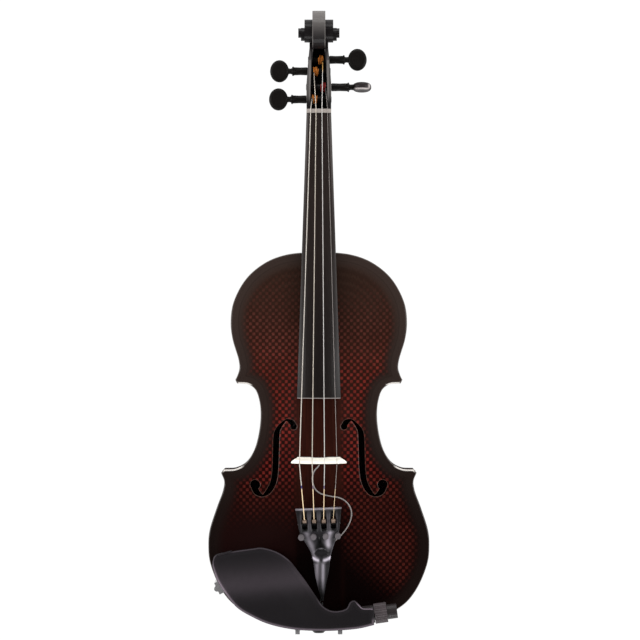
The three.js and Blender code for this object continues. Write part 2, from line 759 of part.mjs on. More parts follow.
function pegboxPocket() {
  const ys = pocketShares.map((share) => pocketStartY + share * (pocketEndY - pocketStartY));
  return loft(ys.map((y) => {
    const half = between(pegboxSides, y) - cheek;
    const low = between(pegboxBack, y) + pegboxFloor;
    return [[half, y, cheek], [half, y, low], [-half, y, low], [-half, y, cheek]];
  }));
}

const spiralRadius = (angle) => scrollRadius * Math.exp(-scrollDecay * (angle - Math.PI / 2));
const scrollZ = floorZ + spiralRadius(0);

// One turn of the scroll. Its angle starts at the back of the head and runs over the top.
function scrollTurn(turn, halfWidth) {
  const outline = [];
  for (let i = 0; i <= spiralSteps; i += 1) {
    const angle = 2 * Math.PI * (turn + i / spiralSteps);
    const radius = spiralRadius(angle);
    outline.push([scrollY + radius * Math.sin(angle), scrollZ - radius * Math.cos(angle)]);
  }
  return alongX(outline, -halfWidth, halfWidth);
}

// An outline in Y and Z, drawn out along X
function alongX(outline, x0, x1) {
  const shape = new THREE.Shape(outline.map(([y, z]) => new THREE.Vector2(y, z)));
  const geometry = new THREE.ExtrudeGeometry(shape, { depth: x1 - x0, bevelEnabled: false });
  geometry.translate(0, 0, x0);
  const swap = new THREE.Matrix4().set(0, 0, 1, 0, 1, 0, 0, 0, 0, 1, 0, 0, 0, 0, 0, 1);
  geometry.applyMatrix4(swap);
  return solid(geometry);
}

function pegHole(peg) {
  const reach = pegboxHalfWidth + cutOverrun;
  const [small, large] = [pegTipRadius + clearance, pegShaftRadius + clearance];
  const [start, end] = peg.side > 0 ? [small, large] : [large, small];
  return rod('x', -reach, reach, [0, peg.y, peg.z], start, end, pegFacets);
}

function neck() {
  let piece = neckShaft().add(neckRoot(0)).add(pegboxShell()).subtract(pegboxPocket());
  scrollTurnHalfWidths.forEach((half, turn) => {
    piece = piece.add(scrollTurn(turn, half));
  });
  const lower = (drop) => [0, scrollY - drop, scrollZ];
  piece = piece
    .add(rod('x', -scrollInnerHalfWidth, scrollInnerHalfWidth, lower(scrollInnerDrop), scrollInnerRadius,
      scrollInnerRadius, roundFacets))
    .add(rod('x', -eyeHalfWidth, eyeHalfWidth, lower(eyeDrop), eyeRadius, eyeRadius, pegFacets));
  for (const peg of pegs) piece = piece.subtract(pegHole(peg));
  return piece;
}

function fingerboard() {
  return loft([fingerboardEndY, nutY - glueGap].map((y) => {
    const half = boardHalf(y);
    const arc = Array.from({ length: boardFacets + 1 }, (_, i) => {
      const x = half * (1 - (2 * i) / boardFacets);
      return [x, y, boardTop(y) - sagitta(boardRadius, Math.abs(x))];
    });
    return [...arc, [-half, y, boardSeat(y)], [half, y, boardSeat(y)]];
  }));
}

const nutTop = (x) => boardTopAtNut + nutRise - sagitta(boardRadius, Math.abs(x));

function nut() {
  const half = boardHalf(nutY);
  const arc = Array.from({ length: boardFacets + 1 }, (_, i) => {
    const x = half * (1 - (2 * i) / boardFacets);
    return [x, nutTop(x)];
  });
  const seat = boardSeat(nutY);
  const outline = [...arc, [-half, seat], [half, seat]];
  return loft([nutY, nutY + nutDepth].map((y) => outline.map(([x, z]) => [x, y, z])));
}

// Belly and back
function soundHole(side) {
  const ribbon = stemShares.map(([x, y, half]) => ({
    x: x * stemHeight, y: lowerEye.y + y * stemHeight, half: half * stemWidth,
  }));
  const [first, second] = [[], []];
  ribbon.forEach((point, i) => {
    const before = ribbon[Math.max(i - 1, 0)];
    const after = ribbon[Math.min(i + 1, ribbon.length - 1)];
    const [dx, dy] = [after.x - before.x, after.y - before.y];
    const reach = point.half / Math.hypot(dx, dy);
    first.push([point.x + dy * reach, point.y - dx * reach]);
    second.push([point.x - dy * reach, point.y + dx * reach]);
  });
  let outline = [...first, ...second.reverse()];
  if (side > 0) outline = mirrored(outline);
  const [low, high] = [-cutOverrun, edgeThickness + bellyArch + cutOverrun];
  const eyes = [upperEye, lowerEye].map((eye) => rod('z', low, high, [-side * Math.abs(eye.x) * -1, eye.y, 0],
    eye.radius, eye.radius, pegFacets));
  return prism(outline, low, high).add(eyes[0]).add(eyes[1]);
}

const heelNotch = block(-boardHalf(bodyLength) - clearance, boardHalf(bodyLength) + clearance,
  bodyLength - overhang - clearance, bodyLength + cutOverrun, -cutOverrun, edgeThickness + bellyArch);
const belly = archedPlate(bellyArch, (z) => z, false)
  .subtract(soundHole(-1)).subtract(soundHole(1)).subtract(neckRoot(clearance)).subtract(heelNotch);

function back() {
  const plate = archedPlate(backArch, (z) => -ribHeight - z, true);
  const low = -ribHeight - edgeThickness;
  const button = rod('z', low, -ribHeight, [0, bodyLength - cutOverrun, 0], buttonRadius, buttonRadius,
    roundFacets);
  return plate.add(button);
}
const backPlate = back();

// Ribs, cut at the corners, at the neck and nowhere else
const ribLow = -ribHeight + glueGap;
const ribHigh = -glueGap;
const ribOuter = overhang;
const ribInner = overhang + ribThickness;
const liningOuter = ribInner + glueGap;
const liningInner = liningOuter + liningWidth;

function ribPieces() {
  const wall = ring(ribOuter, ribInner, ribLow, ribHigh).subtract(neckRoot(clearance));
  const half = glueGap / 2;
  const far = lowerHalfWidth + cutOverrun;
  const upperCut = upperCornerY + upperRibCut;
  const lowerCut = lowerCornerY - lowerRibCut;
  const cuts = {
    rib_upper_left: [-far, -half, upperCut + half, bodyLength],
    rib_upper_right: [half, far, upperCut + half, bodyLength],
    rib_waist_left: [-far, -half, lowerCut + half, upperCut - half],
    rib_waist_right: [half, far, lowerCut + half, upperCut - half],
    rib_lower: [-far, far, -cutOverrun, lowerCut - half],
  };
  return Object.entries(cuts).map(([name, [x0, x1, y0, y1]]) => (
    [name, wall.intersect(block(x0, x1, y0, y1, -ribHeight, 0))]));
}

function lining(z0, z1) {
  return ring(liningOuter, liningInner, z0, z1).subtract(neckRoot(clearance));
}

// Blocks fill the space inside the ribs and are notched for the linings.
const blockSpace = prism(insetOutline(liningOuter), ribLow, ribHigh);
const liningSpace = [
  ring(ribOuter, liningInner + glueGap, ribHigh - liningHeight - glueGap, ribHigh + glueGap),
  ring(ribOuter, liningInner + glueGap, ribLow - glueGap, ribLow + liningHeight + glueGap),
];

function blockPiece(outline) {
  const piece = blockSpace.intersect(prism(outline, -ribHeight, 0));
  return piece.subtract(liningSpace[0]).subtract(liningSpace[1]);
}

function endBlock(y0, y1) {
  const half = endBlockWidth / 2;
  return blockPiece([[-half, y0], [half, y0], [half, y1], [-half, y1]]);
}

function cornerBlock(x, y, rise, side) {
  const outline = [[x - cornerBlockReach, y - rise * cornerBlockDip],
    [x + cornerBlockDip, y - rise * cornerBlockDip], [x + cornerBlockDip, y + rise * cornerBlockRise],
    [x - cornerBlockDip, y + rise * cornerBlockRise]];
  const placed = side > 0 ? outline : outline.map(([px, py]) => [-px, py]);
  const anticlockwise = side * rise > 0 ? placed : [...placed].reverse();
  return blockPiece(anticlockwise);
}

function bassBar() {
  const count = 12;
  const top = [];
  const low = [];
  for (let i = 0; i <= count; i += 1) {
    const y = barBottomY + ((barTopY - barBottomY) * i) / count;
    const under = archUnderside(barX, y, bellyArch);
    const depth = barEndDepth + (barDepth - barEndDepth) * Math.sin((Math.PI * i) / count);
    top.push([y, under + plateThickness / 2]);
    low.push([y, under - depth]);
  }
  const bar = alongX([...low, ...top.reverse()], barX - barWidth / 2, barX + barWidth / 2);
  return largest(bar.subtract(belly.translate([0, 0, -glueGap])));
}

function soundPost() {
  const low = -ribHeight - archUnderside(postX, postY, backArch) - plateThickness / 2;
  const high = archUnderside(postX, postY, bellyArch) + plateThickness / 2;
  return largest(rod('z', low, high, [postX, postY, 0], postRadius)
    .subtract(belly.translate([0, 0, -glueGap])).subtract(backPlate.translate([0, 0, glueGap])));
}

// Bridge with the pickup element let into its tail side
const bellyTop = edgeThickness + bellyArch;
const crownZ = bellyTop + bridgeHeight;
const crownTop = (x) => crownZ - sagitta(crownRadius, Math.abs(x));

function bridge() {
  const half = bridgeWingWidth / 2;
  const toPoint = ([x, z]) => [x * half, bellyTop + z * bridgeHeight];
  const crownHalf = bridgeHalfShares[bridgeHalfShares.length - 1][0] * half;
  const crown = [0.75, 0.5, 0.25].map((share) => [share * crownHalf, crownTop(share * crownHalf)]);
  const feet = bridgeHalfShares.map(toPoint);
  feet[0][1] -= edgeThickness;
  feet[1][1] -= edgeThickness;
  const right = [...feet.slice(0, -1), [crownHalf, crownTop(crownHalf)], ...crown];
  const arch = bridgeArchShares.map(toPoint);
  const outline = [...right, [0, crownZ], ...mirrored(right), ...mirrored(arch.slice(1)),
    arch[0], ...arch.slice(1)];
  const slab = prism(outline, 0, bridgeFootDepth);
  const turn = new THREE.Matrix4().makeRotationX(Math.PI / 2);
  const standing = slab.transform(turn.elements).translate([0, bridgeTailY + bridgeFootDepth, 0]);
  const front = bridgeTailY + bridgeFootDepth;
  const wedge = alongX([[bridgeTailY + bridgeCrownDepth, crownZ + cutOverrun],
    [front, bellyTop], [front + cutOverrun, bellyTop], [front + cutOverrun, crownZ + cutOverrun]],
  -bridgeWingWidth, bridgeWingWidth);
  const tip = prism([[half + cutOverrun, front + cutOverrun], [half - wingChamfer, front + cutOverrun],
    [half - wingChamfer, front], [half, bridgeTailY + bridgeCrownDepth],
    [half + cutOverrun, bridgeTailY + bridgeCrownDepth]], bellyTop + cutOverrun * 2, crownZ);
  const recess = block(-elementWidth / 2, elementWidth / 2, bridgeTailY - cutOverrun,
    bridgeTailY + elementDepth, elementZ - elementHeight / 2, elementZ + elementHeight / 2);
  return standing.subtract(wedge).subtract(tip).subtract(tip.mirror([1, 0, 0])).subtract(recess)
    .subtract(belly.translate([0, 0, glueGap]));
}

function pickupElement() {
  const [half, rise] = [elementWidth / 2 - clearance, elementHeight / 2 - clearance];
  return block(-half, half, bridgeTailY, bridgeTailY + elementDepth - clearance, elementZ - rise,
    elementZ + rise);
}

function pickupLead() {
  const curve = new THREE.CatmullRomCurve3(leadShares.map(([x, y, z]) => new THREE.Vector3(
    x * jackX, jackY + y * (bridgeTailY - jackY), z * elementZ)));
  const section = new THREE.Shape(Array.from({ length: leadSides }, (_, i) => {
    const angle = (2 * Math.PI * i) / leadSides;
    return new THREE.Vector2(leadRadius * Math.cos(angle), leadRadius * Math.sin(angle));
  }));
  return solid(new THREE.ExtrudeGeometry(section, { steps: leadSteps, extrudePath: curve,
    bevelEnabled: false }));
}

// Tailpiece and its fine tuners
const tailGroup = new THREE.Group();
tailGroup.rotation.order = 'ZXY';
tailGroup.rotation.z = tailpieceLean;
tailGroup.rotation.x = tailpiecePitch;
tailGroup.position.set(tailpieceX, tailpieceY, tailpieceZ);
violin.add(tailGroup);
tailGroup.updateMatrixWorld(true);
const onTailpiece = (x, y, z) => tailGroup.localToWorld(new THREE.Vector3(x, y, z)).toArray();
const channelX = (channel) => (channel - 1.5) * channelPitch;
const screwX = (channel) => (channel - 1.5) * screwPitch;

function tailOutline(inset, endShare) {
  const right = tailpieceShares.filter(([, y]) => y <= endShare)
    .map(([x, y]) => [x * tailpieceHalfWidth - inset, -y * tailpieceLength]);
  if (inset) right[0][1] -= inset;
  return [...mirrored(right).map(([x, y]) => [x, y]), ...right];
}

// A lever's arm seen from above, from its channel to its screw
function armOutline(channel, grow) {
  const [near, far, half] = [channelX(channel), screwX(channel), leverWidth / 2 + grow];
  return [[near - half, pivotY + armStart], [near - half, pivotY - armStraight],
    [far - half, screwY + armStart], [far - half, screwY - armOverlap - grow],
    [far + half, screwY - armOverlap - grow], [far + half, screwY + armStart],
    [near + half, pivotY - armStraight], [near + half, pivotY + armStart]];
}

function tailpiece() {
  let piece = prism(tailOutline(0, 1), -tailpieceThickness, 0);
  for (let channel = 0; channel < 4; channel += 1) {
    piece = piece.add(rod('z', -tailpieceThickness, 0, [screwX(channel), screwY, 0], bossRadius));
  }
  piece = piece.subtract(prism(tailOutline(tailpieceWall, pocketEndShare),
    -tailpieceThickness - cutOverrun, -tailpieceSkin));
  for (let channel = 0; channel < 4; channel += 1) {
    piece = piece.subtract(prism(armOutline(channel, 2 * clearance), -tailpieceThickness - cutOverrun,
      -tailpieceSkin));
  }
  for (let channel = 0; channel < 4; channel += 1) {
    const [x, half] = [channelX(channel), channelWidth / 2];
    piece = piece
      .subtract(block(x - half, x + half, -slotEnd, -channelStart, -channelDepth, cutOverrun))
      .subtract(block(x - half, x + half, -slotEnd, -slotStart, -tailpieceThickness, cutOverrun))
      .subtract(rod('z', -tailpieceThickness - cutOverrun, cutOverrun, [screwX(channel), screwY, 0],
        screwRadius + clearance));
  }
  const widest = hollowStart + (hollowEnd - hollowStart) * hollowWidestShare;
  const hollow = prism([[0, -hollowStart], [-hollowHalfWidth, -widest],
    [-hollowHalfWidth * hollowEndShare, -hollowEnd],
    [hollowHalfWidth * hollowEndShare, -hollowEnd], [hollowHalfWidth, -widest]], -hollowDepth, cutOverrun);
  const bore = rod('x', -tailpieceHalfWidth, tailpieceHalfWidth, [0, pivotY, pivotZ],
    axleRadius + clearance);
  return piece.subtract(hollow).subtract(bore);
}

function tunerAxle() {
  const half = tailpieceHalfWidth * axleShare;
  return rod('x', -half, half, [0, pivotY, pivotZ], axleRadius);
}

function tunerLever(channel) {
  const x = channelX(channel);
  const half = leverWidth / 2;
  const low = pivotZ - leverArm;
  const post = alongX([[hookY - postBack, low], [hookY + postFront, low + clearance],
    [hookY + postFront, hookRise],
    [hookY - postFront, hookRise], [pivotY - postShift, pivotZ + postBack], [pivotY - postShift, low]],
  x - half, x + half);
  const arm = prism(armOutline(channel, 0), low - clearance, low + armThickness);
  const head = rod('x', x - half, x + half, [0, hookY, hookRise], hookRadius);
  const bore = rod('x', x - leverWidth, x + leverWidth, [0, pivotY, pivotZ], axleRadius + clearance);
  return post.add(arm).add(head).subtract(bore);
}

function starOutline(radius, tooth, teeth) {
  return Array.from({ length: teeth * 2 }, (_, i) => {
    const angle = (Math.PI * i) / teeth;
    const reach = radius - (i % 2) * tooth;
    return [reach * Math.cos(angle), reach * Math.sin(angle)];
  });
}

function tunerScrew() {
  const tip = pivotZ - leverArm + armThickness + screwGap;
  const shank = rod('z', tip, knobLift, [0, 0, 0], screwRadius);
  const collar = rod('z', clearance, knobLift, [0, 0, 0], screwRadius * 1.8);
  const knob = prism(starOutline(knobRadius, knobTooth, knobTeeth), knobLift - clearance,
    knobLift + knobHeight);
  return shank.add(collar).add(knob);
}

// Strings, from just clear of their peg to their fine tuner
function tangentPoint(peg, from) {
  const [dy, dz] = [from[1] - peg.y, from[2] - peg.z];
  const reach = Math.hypot(dy, dz);
  const angle = Math.atan2(dz, dy) - Math.acos(windingRadius / reach);
  return { angle, y: peg.y + windingRadius * Math.cos(angle), z: peg.z + windingRadius * Math.sin(angle) };
}

const windingRadius = pegShaftRadius + clearance + windingWire;
const nutBack = nutY + nutDepth;
const atNut = (spec, y) => [spec.nutX, y, nutTop(spec.nutX) + spec.radius + stringGap];

function stringPiece(peg) {
  const spec = strings[peg.string];
  const leave = atNut(spec, nutBack);
  const touch = tangentPoint(peg, leave);
  const along = new THREE.Vector3(leave[0] - peg.silk, leave[1] - touch.y, leave[2] - touch.z);
  const start = new THREE.Vector3(peg.silk, touch.y, touch.z)
    .addScaledVector(along.normalize(), stringStart);
  const overBridge = (y) => [spec.bridgeX, y, crownTop(spec.bridgeX) + spec.radius + stringGap];
  const end = onTailpiece(channelX(spec.channel), hookY + hookRadius + clearance + spec.radius,
    hookRise + spec.radius);
  return tube([start.toArray(), leave, atNut(spec, nutY), overBridge(bridgeTailY + bridgeCrownDepth),
    overBridge(bridgeTailY), end], spec.radius, stringSides);
}

// The winding in the peg's frame: loops round the shaft and a short straight lead-out
function windingRoute(peg) {
  const touch = tangentPoint(peg, atNut(strings[peg.string], nutBack));
  const turnBack = peg.side;
  const route = [];
  const lead = windingLead / 2;
  for (let i = 2; i > 0; i -= 1) {
    route.push([peg.silk, windingRadius * Math.cos(touch.angle) - Math.sin(touch.angle) * lead * i,
      windingRadius * Math.sin(touch.angle) + Math.cos(touch.angle) * lead * i]);
  }
  const count = windingTurns * windingSteps;
  for (let i = 0; i <= count; i += 1) {
    const angle = touch.angle - (2 * Math.PI * i) / windingSteps;
    route.push([peg.silk + (peg.leads * windingPitch * i) / windingSteps,
      windingRadius * Math.cos(angle), windingRadius * Math.sin(angle)]);
  }
  return route.map(([x, y, z]) => [x * turnBack, y * turnBack, z]);
}

// Least gap between turns, measured on the route's points
function leastGap(route) {
  let least = Infinity;
  for (let i = 0; i < route.length; i += 1) {
    for (let k = i + windingSteps / 2; k < route.length; k += 1) {
      const [a, b] = [route[i], route[k]];
      least = Math.min(least, Math.hypot(a[0] - b[0], a[1] - b[1], a[2] - b[2]) - 2 * windingWire);
    }
  }
  return least;
}

function pegPiece(peg) {
  const cheekX = between(pegboxSides, peg.y) + clearance;
  const ringX = cheekX + pegCollarLength + peg.out;
  const neckX = ringX + pegRingWidth;
  const thumbX = neckX + pegNeckLength;
  const tipX = -cheekX;
  const body = turned([[0, tipX], [pegTipRadius, tipX], [pegShaftRadius, cheekX], [pegCollarRadius, cheekX],
    [pegCollarRadius, ringX], [pegRingRadius, ringX], [pegRingRadius, neckX], [pegNeckRadius, neckX],
    [pegNeckRadius, thumbX + cutOverrun], [0, thumbX + cutOverrun]], 'x', pegFacets);
  const shape = new THREE.Shape();
  shape.absellipse(0, 0, thumbWidth / 2 - thumbBevel, thumbHeight / 2 - thumbBevel, 0, 2 * Math.PI);
  const depth = thumbThickness - 2 * thumbBevel;
  const thumb = new THREE.ExtrudeGeometry(shape, { depth, bevelSize: thumbBevel,
    bevelThickness: thumbBevel, bevelSegments: 1, curveSegments: 10 });
  thumb.translate(thumbX + thumbWidth / 2, 0, -depth / 2);
  return body.add(solid(thumb));
}

// Saddle, tail cord and end button
function saddle() {
  const [low, high, end] = [edgeThickness - cutOverrun, edgeThickness + saddleRise, saddleStart + saddleDepth];
  const outline = [[saddleStart, low], [end, low], [end, high - saddleBevel / 2],
    [end - saddleBevel / 2, high], [saddleStart + saddleBevel, high], [saddleStart, high - saddleBevel]];
  return largest(alongX(outline, -saddleHalfWidth, saddleHalfWidth)
    .subtract(belly.translate([0, 0, glueGap])));
}

function tailCord() {
  const crest = edgeThickness + saddleRise + cordRadius + 2 * glueGap;
  const outside = -cordRadius - clearance;
  const tail = onTailpiece(0, -tailpieceLength - clearance - cordRadius, -tailpieceThickness / 2);
  return tube([tail, [cordDrift, saddleStart + saddleDepth, crest],
    [cordDrift / 2, saddleStart + saddleBevel, crest], [0, outside + cordRadius, crest - cordRadius],
    [0, outside, crest - 2 * cordRadius], [0, outside, 0],
    [0, outside - cordRadius, buttonZ + endButtonHole + cordRadius + clearance]], cordRadius,
  stringSides + 2);
}

function endButton() {
  return turned(endButtonProfile, 'y', pegFacets).translate([0, 0, buttonZ]);
}

// Chin rest: a dished plate on two feet, one each side of the tailpiece
function chinRestPlate() {
  const toX = (share) => chinLeftX + share * chinLength;
  const toY = (share) => chinBottomY + share * chinDepth;
  const positions = [];
  for (const [share, upper] of chinUpperShares) {
    const [low, high] = [toY(between(chinLowerShares, share)), toY(upper)];
    const level = chinHeightLeft + (chinHeightRight - chinHeightLeft) * smoothstep(...chinRampShares, share);
    const dish = chinDish * (1 - smoothstep(...chinDishEndShares, share))
      * smoothstep(...chinDishStartShares, share);
    const tops = [];
    for (let i = 0; i <= chinColumns; i += 1) {
      const across = i / chinColumns;
      tops.push([toX(share), low + across * (high - low), level - dish * 4 * across * (1 - across)]);
    }
    positions.push(...tops, ...tops.map(([x, y, z]) => [x, y, z - chinThickness]));
  }
  const width = chinColumns + 1;
  const rings = chinUpperShares.map((_, i) => {
    const row = positions.slice(i * width * 2, (i + 1) * width * 2);
    return [...row.slice(0, width), ...row.slice(width).reverse()];
  });
  const count = width * 2;
  const triangles = [];
  for (let r = 0; r + 1 < rings.length; r += 1) {
    for (let i = 0; i < count; i += 1) {
      const next = (i + 1) % count;
      const [a, b] = [r * count + i, r * count + next];
      triangles.push(a, b, b + count, a, b + count, a + count);
    }
  }
  const last = (rings.length - 1) * count;
  for (let i = 0; i + 1 < width; i += 1) {
    const [a, b, c, d] = [i, i + 1, count - 2 - i, count - 1 - i];
    triangles.push(a, c, b, a, d, c);
    triangles.push(last + a, last + b, last + c, last + a, last + c, last + d);
  }
  return orientedOut(rings.flat(), triangles);
}

function orientedOut(positions, triangles) {
  const piece = solid(pointsGeometry(positions, triangles));
  if (piece.volume() > 0) return piece;
  const turnedOver = [];
  for (let i = 0; i < triangles.length; i += 3) {
    turnedOver.push(triangles[i + 1], triangles[i], triangles[i + 2]);
  }
  return solid(pointsGeometry(positions, turnedOver));
}

function chinRest() {
  let piece = chinRestPlate();
  const high = chinHeightRight - chinThickness + clearance;
  for (const side of [-1, 1]) {
    const [x0, x1] = side > 0 ? [footInnerX, footOuterX] : [-footOuterX, -footInnerX];
    piece = piece.add(block(x0, x1, footStartY, footEndY, corkTop + glueGap,
      side > 0 ? high : high - footDrop));
  }
  for (const side of [-1, 1]) {
    piece = piece.subtract(rod('y', barrelY, prongReach + clearance, [side * hookX, 0, prongZ],
      rodRadius + clearance));
  }
  return piece;
}

function footCork() {
  const sheet = prism([[-footOuterX, footStartY], [-footInnerX + clearance, footStartY],
    [-footInnerX + clearance, corkNotch], [footInnerX - clearance, corkNotch],
    [footInnerX - clearance, footStartY], [footOuterX, footStartY], [footOuterX, footEndY],
    [-footOuterX, footEndY]], edgeThickness - cutOverrun, corkTop);
  const relief = block(-footInnerX, footInnerX, corkNotch - reliefStart, footEndY + reliefReach,
    corkTop - reliefDepth, corkTop + cutOverrun);
  return sheet.subtract(relief).subtract(belly.translate([0, 0, glueGap]));
}

// Clamp hooks: a prong into the chin rest's foot and a rod down into the barrel
function clampHook() {
  const prong = rod('y', barrelY, prongReach, [0, 0, prongZ], rodRadius);
  const knee = block(-prongWidth / 2, prongWidth / 2, barrelY - rodRadius - kneeOut, barrelY + rodRadius,
    prongZ - rodRadius - kneeRise, prongZ + rodRadius + kneeRise);
  const leg = rod('z', barrelTop - rodGrip, prongZ, [0, barrelY, 0], rodRadius);
  return prong.add(knee).add(leg);
}

function barrel() {
  const tubeWall = rod('z', barrelBottom, barrelTop, [0, 0, 0], barrelRadius);
  const bore = rod('z', barrelBottom - cutOverrun, barrelTop + cutOverrun, [0, 0, 0],
    rodRadius + clearance);
  const keyHole = rod('x', -barrelRadius - cutOverrun, barrelRadius + cutOverrun,
    [0, 0, (barrelTop + barrelBottom) / 2], rodRadius / 2);
  return tubeWall.subtract(bore).subtract(keyHole);
}

function clampFoot() {
  const high = -ribHeight - edgeThickness - glueGap;
  const low = high - clampFootDrop;
  const across = hookX + prongWidth / 2;
  let piece = block(-across, across, barrelY - rodRadius - 1, clampFootReach, low, high);
  for (const side of [-1, 1]) {
    piece = piece.add(rod('z', low + glueGap, barrelBottom + rodGrip, [side * hookX, barrelY, 0],
      rodRadius));
  }
  return piece.subtract(backPlate.translate([0, 0, -glueGap]));
}

const clearOfPlates = (piece) => piece.subtract(belly.translate([0, 0, clearance]))
  .subtract(backPlate.translate([0, 0, -clearance]));

// A small clamp round the body's edge, under the chin rest's bass end
function sideClamp() {
  const x = between([...halfOutline].reverse().map(([px, py]) => [py, px]), sideClampY);
  const above = between([...halfOutline].reverse().map(([px, py]) => [py, px]), sideClampY + sideClampStep);
  const angle = Math.atan2(-(above - x), sideClampStep);
  const high = edgeThickness + clearance;
  const low = -ribHeight - edgeThickness - clearance;
  const finger = sideClampFinger;
  const [web, outer] = [sideClampGap, sideClampGap + sideClampWeb];
  const outline = [[-sideClampReach, high], [web, high], [web, low], [-sideClampReach, low],
    [-sideClampReach, low - finger], [outer, low - finger], [outer, high + finger],
    [-sideClampReach, high + finger]];
  const slab = prism(outline, -sideClampWidth / 2, sideClampWidth / 2);
  const stand = new THREE.Matrix4().makeRotationX(Math.PI / 2);
  const barrelPost = rod('z', low - finger, high + finger, [outer, 0, 0], sideBarrelRadius);
  const nearEdge = block(-sideClampReach * 2, web, -sideClampWidth, sideClampWidth, low, high);
  const piece = slab.transform(stand.elements).add(barrelPost.subtract(nearEdge));
  const place = new THREE.Matrix4().makeRotationZ(Math.PI - angle);
  place.setPosition(-x, sideClampY, 0);
  return largest(clearOfPlates(piece.transform(place.elements)));
}

// Jack: bracket and housing on the body's edge, knurled nut and socket
const jackGroup = new THREE.Group();
jackGroup.position.set(jackX, jackY, jackZ);
jackGroup.rotation.z = jackLean;
violin.add(jackGroup);

function jackBracket() {
  const axis = new THREE.Matrix4().makeRotationZ(jackLean);
  axis.setPosition(jackX, jackY, jackZ);
  const housing = rod('x', -housingLength, -clearance, [0, 0, 0], housingRadius, housingRadius,
    roundFacets).transform(axis.elements);
  const bore = rod('x', -housingLength - cutOverrun, cutOverrun, [0, 0, 0], housingBore, housingBore,
    pegFacets).transform(axis.elements);
  const high = edgeThickness + clearance;
  const low = -ribHeight - edgeThickness - clearance;
  const top = block(bracketStartX, bracketEndX, bracketOuterY, bracketInnerY, high, high + bracketFinger);
  const web = block(bracketStartX, bracketEndX, bracketOuterY, bracketOuterY + bracketWeb,
    low - bracketFinger, high + bracketFinger);
  const bottom = block(bracketStartX, bracketEndX, bracketOuterY, bracketInnerY, low - bracketFinger, low);
  return largest(clearOfPlates(housing.add(top).add(web).add(bottom).subtract(bore)));
}

function jackNut() {
  const knurled = prism(starOutline(jackNutRadius, jackNutTooth, jackNutTeeth), 0, jackNutLength)
    .transform(new THREE.Matrix4().makeRotationY(Math.PI / 2).elements);
  return knurled.subtract(rod('x', -cutOverrun, jackNutLength + cutOverrun, [0, 0, 0],
    bushingRadius + clearance, bushingRadius + clearance, pegFacets));
}

function jackBushing() {
  const stem = rod('x', -bushingTail, jackNutLength + glueGap, [0, 0, 0], bushingRadius, bushingRadius,
    pegFacets);
  const collar = rod('x', jackNutLength + glueGap, jackNutLength + glueGap + collarLength, [0, 0, 0],
    collarRadius, collarRadius, roundFacets);
  const socket = rod('x', -bushingTail - cutOverrun, jackNutLength + collarLength + cutOverrun,
    [0, 0, 0], socketRadius, socketRadius, pegFacets);
  return stem.add(collar).subtract(socket);
}

function jackContact() {
  const low = socketRadius + clearance;
  const end = -bushingTail - clearance;
  return alongX([[-contactWidth / 2, low], [contactWidth / 2, low], [contactWidth / 2, low
    + contactThickness], [-contactWidth / 2, low + contactThickness]], end - contactLength + 2, end);
}

// Assembly
add('top_plate', belly, varnish);
add('back_plate', backPlate, darkVarnish);
for (const [name, piece] of ribPieces()) add(name, piece, darkVarnish);
add('lining_top', lining(ribHigh - liningHeight, ribHigh), bareSpruce);
add('lining_back', lining(ribLow, ribLow + liningHeight), bareSpruce);
const rootClearance = neckRoot(clearance);
add('neck_block', endBlock(bodyLength - overhang - ribThickness - endBlockDepth, bodyLength)
  .subtract(rootClearance), bareSpruce);
const buttonHole = rod('y', -cutOverrun, endBlockDepth + overhang + cutOverrun * 2, [0, 0, buttonZ],
  endButtonHole, endButtonHole, pegFacets);
add('tail_block', endBlock(0, overhang + ribThickness + endBlockDepth).subtract(buttonHole), bareSpruce);
for (const [side, label] of [[-1, 'left'], [1, 'right']]) {
  const upperX = upperBoutShares[upperBoutShares.length - 1][0] * upperHalfWidth;
  const lowerX = lowerBoutShares[0][0] * lowerHalfWidth;
  add(`corner_block_upper_${label}`, cornerBlock(upperX, upperCornerY, 1, side), bareSpruce);
  add(`corner_block_lower_${label}`, cornerBlock(lowerX, lowerCornerY, -1, side), bareSpruce);
}
add('bass_bar', bassBar(), bareSpruce);
add('sound_post', soundPost(), bareSpruce);
add('neck', neck(), darkVarnish);
add('fingerboard', fingerboard(), ebony);
add('nut', nut(), bone);
add('bridge', bridge(), bridgeMaple);
add('pickup_element', pickupElement(), brassy);
add('pickup_lead', pickupLead(), cordPlastic);

add('tailpiece', tailpiece(), composite, tailGroup);
add('tuner_axle', tunerAxle(), steel, tailGroup);
for (const [name, spec] of Object.entries(strings)) {
  add(`tuner_lever_${name}`, tunerLever(spec.channel), steel, tailGroup);
  const screw = add(`tuner_screw_${name}`, tunerScrew(), blackMetal, tailGroup);
  screw.position.set(screwX(spec.channel), screwY, 0);
}

for (const peg of pegs) {
  add(`string_${peg.string}`, stringPiece(peg), wound);
  const pegGroup = new THREE.Group();
  pegGroup.position.set(0, peg.y, peg.z);
  if (peg.side < 0) pegGroup.rotation.z = Math.PI;
  violin.add(pegGroup);
  add(`peg_${peg.string}`, pegPiece(peg), ebony, pegGroup).rotation.x = peg.roll;
  const route = windingRoute(peg);
  console.log(`winding_${peg.string}: least gap ${leastGap(route).toFixed(2)} mm`);
  add(`winding_${peg.string}`, tube(route, windingWire, windingSides), peg.string === 'e' ? redSilk : silk,
    pegGroup);
}

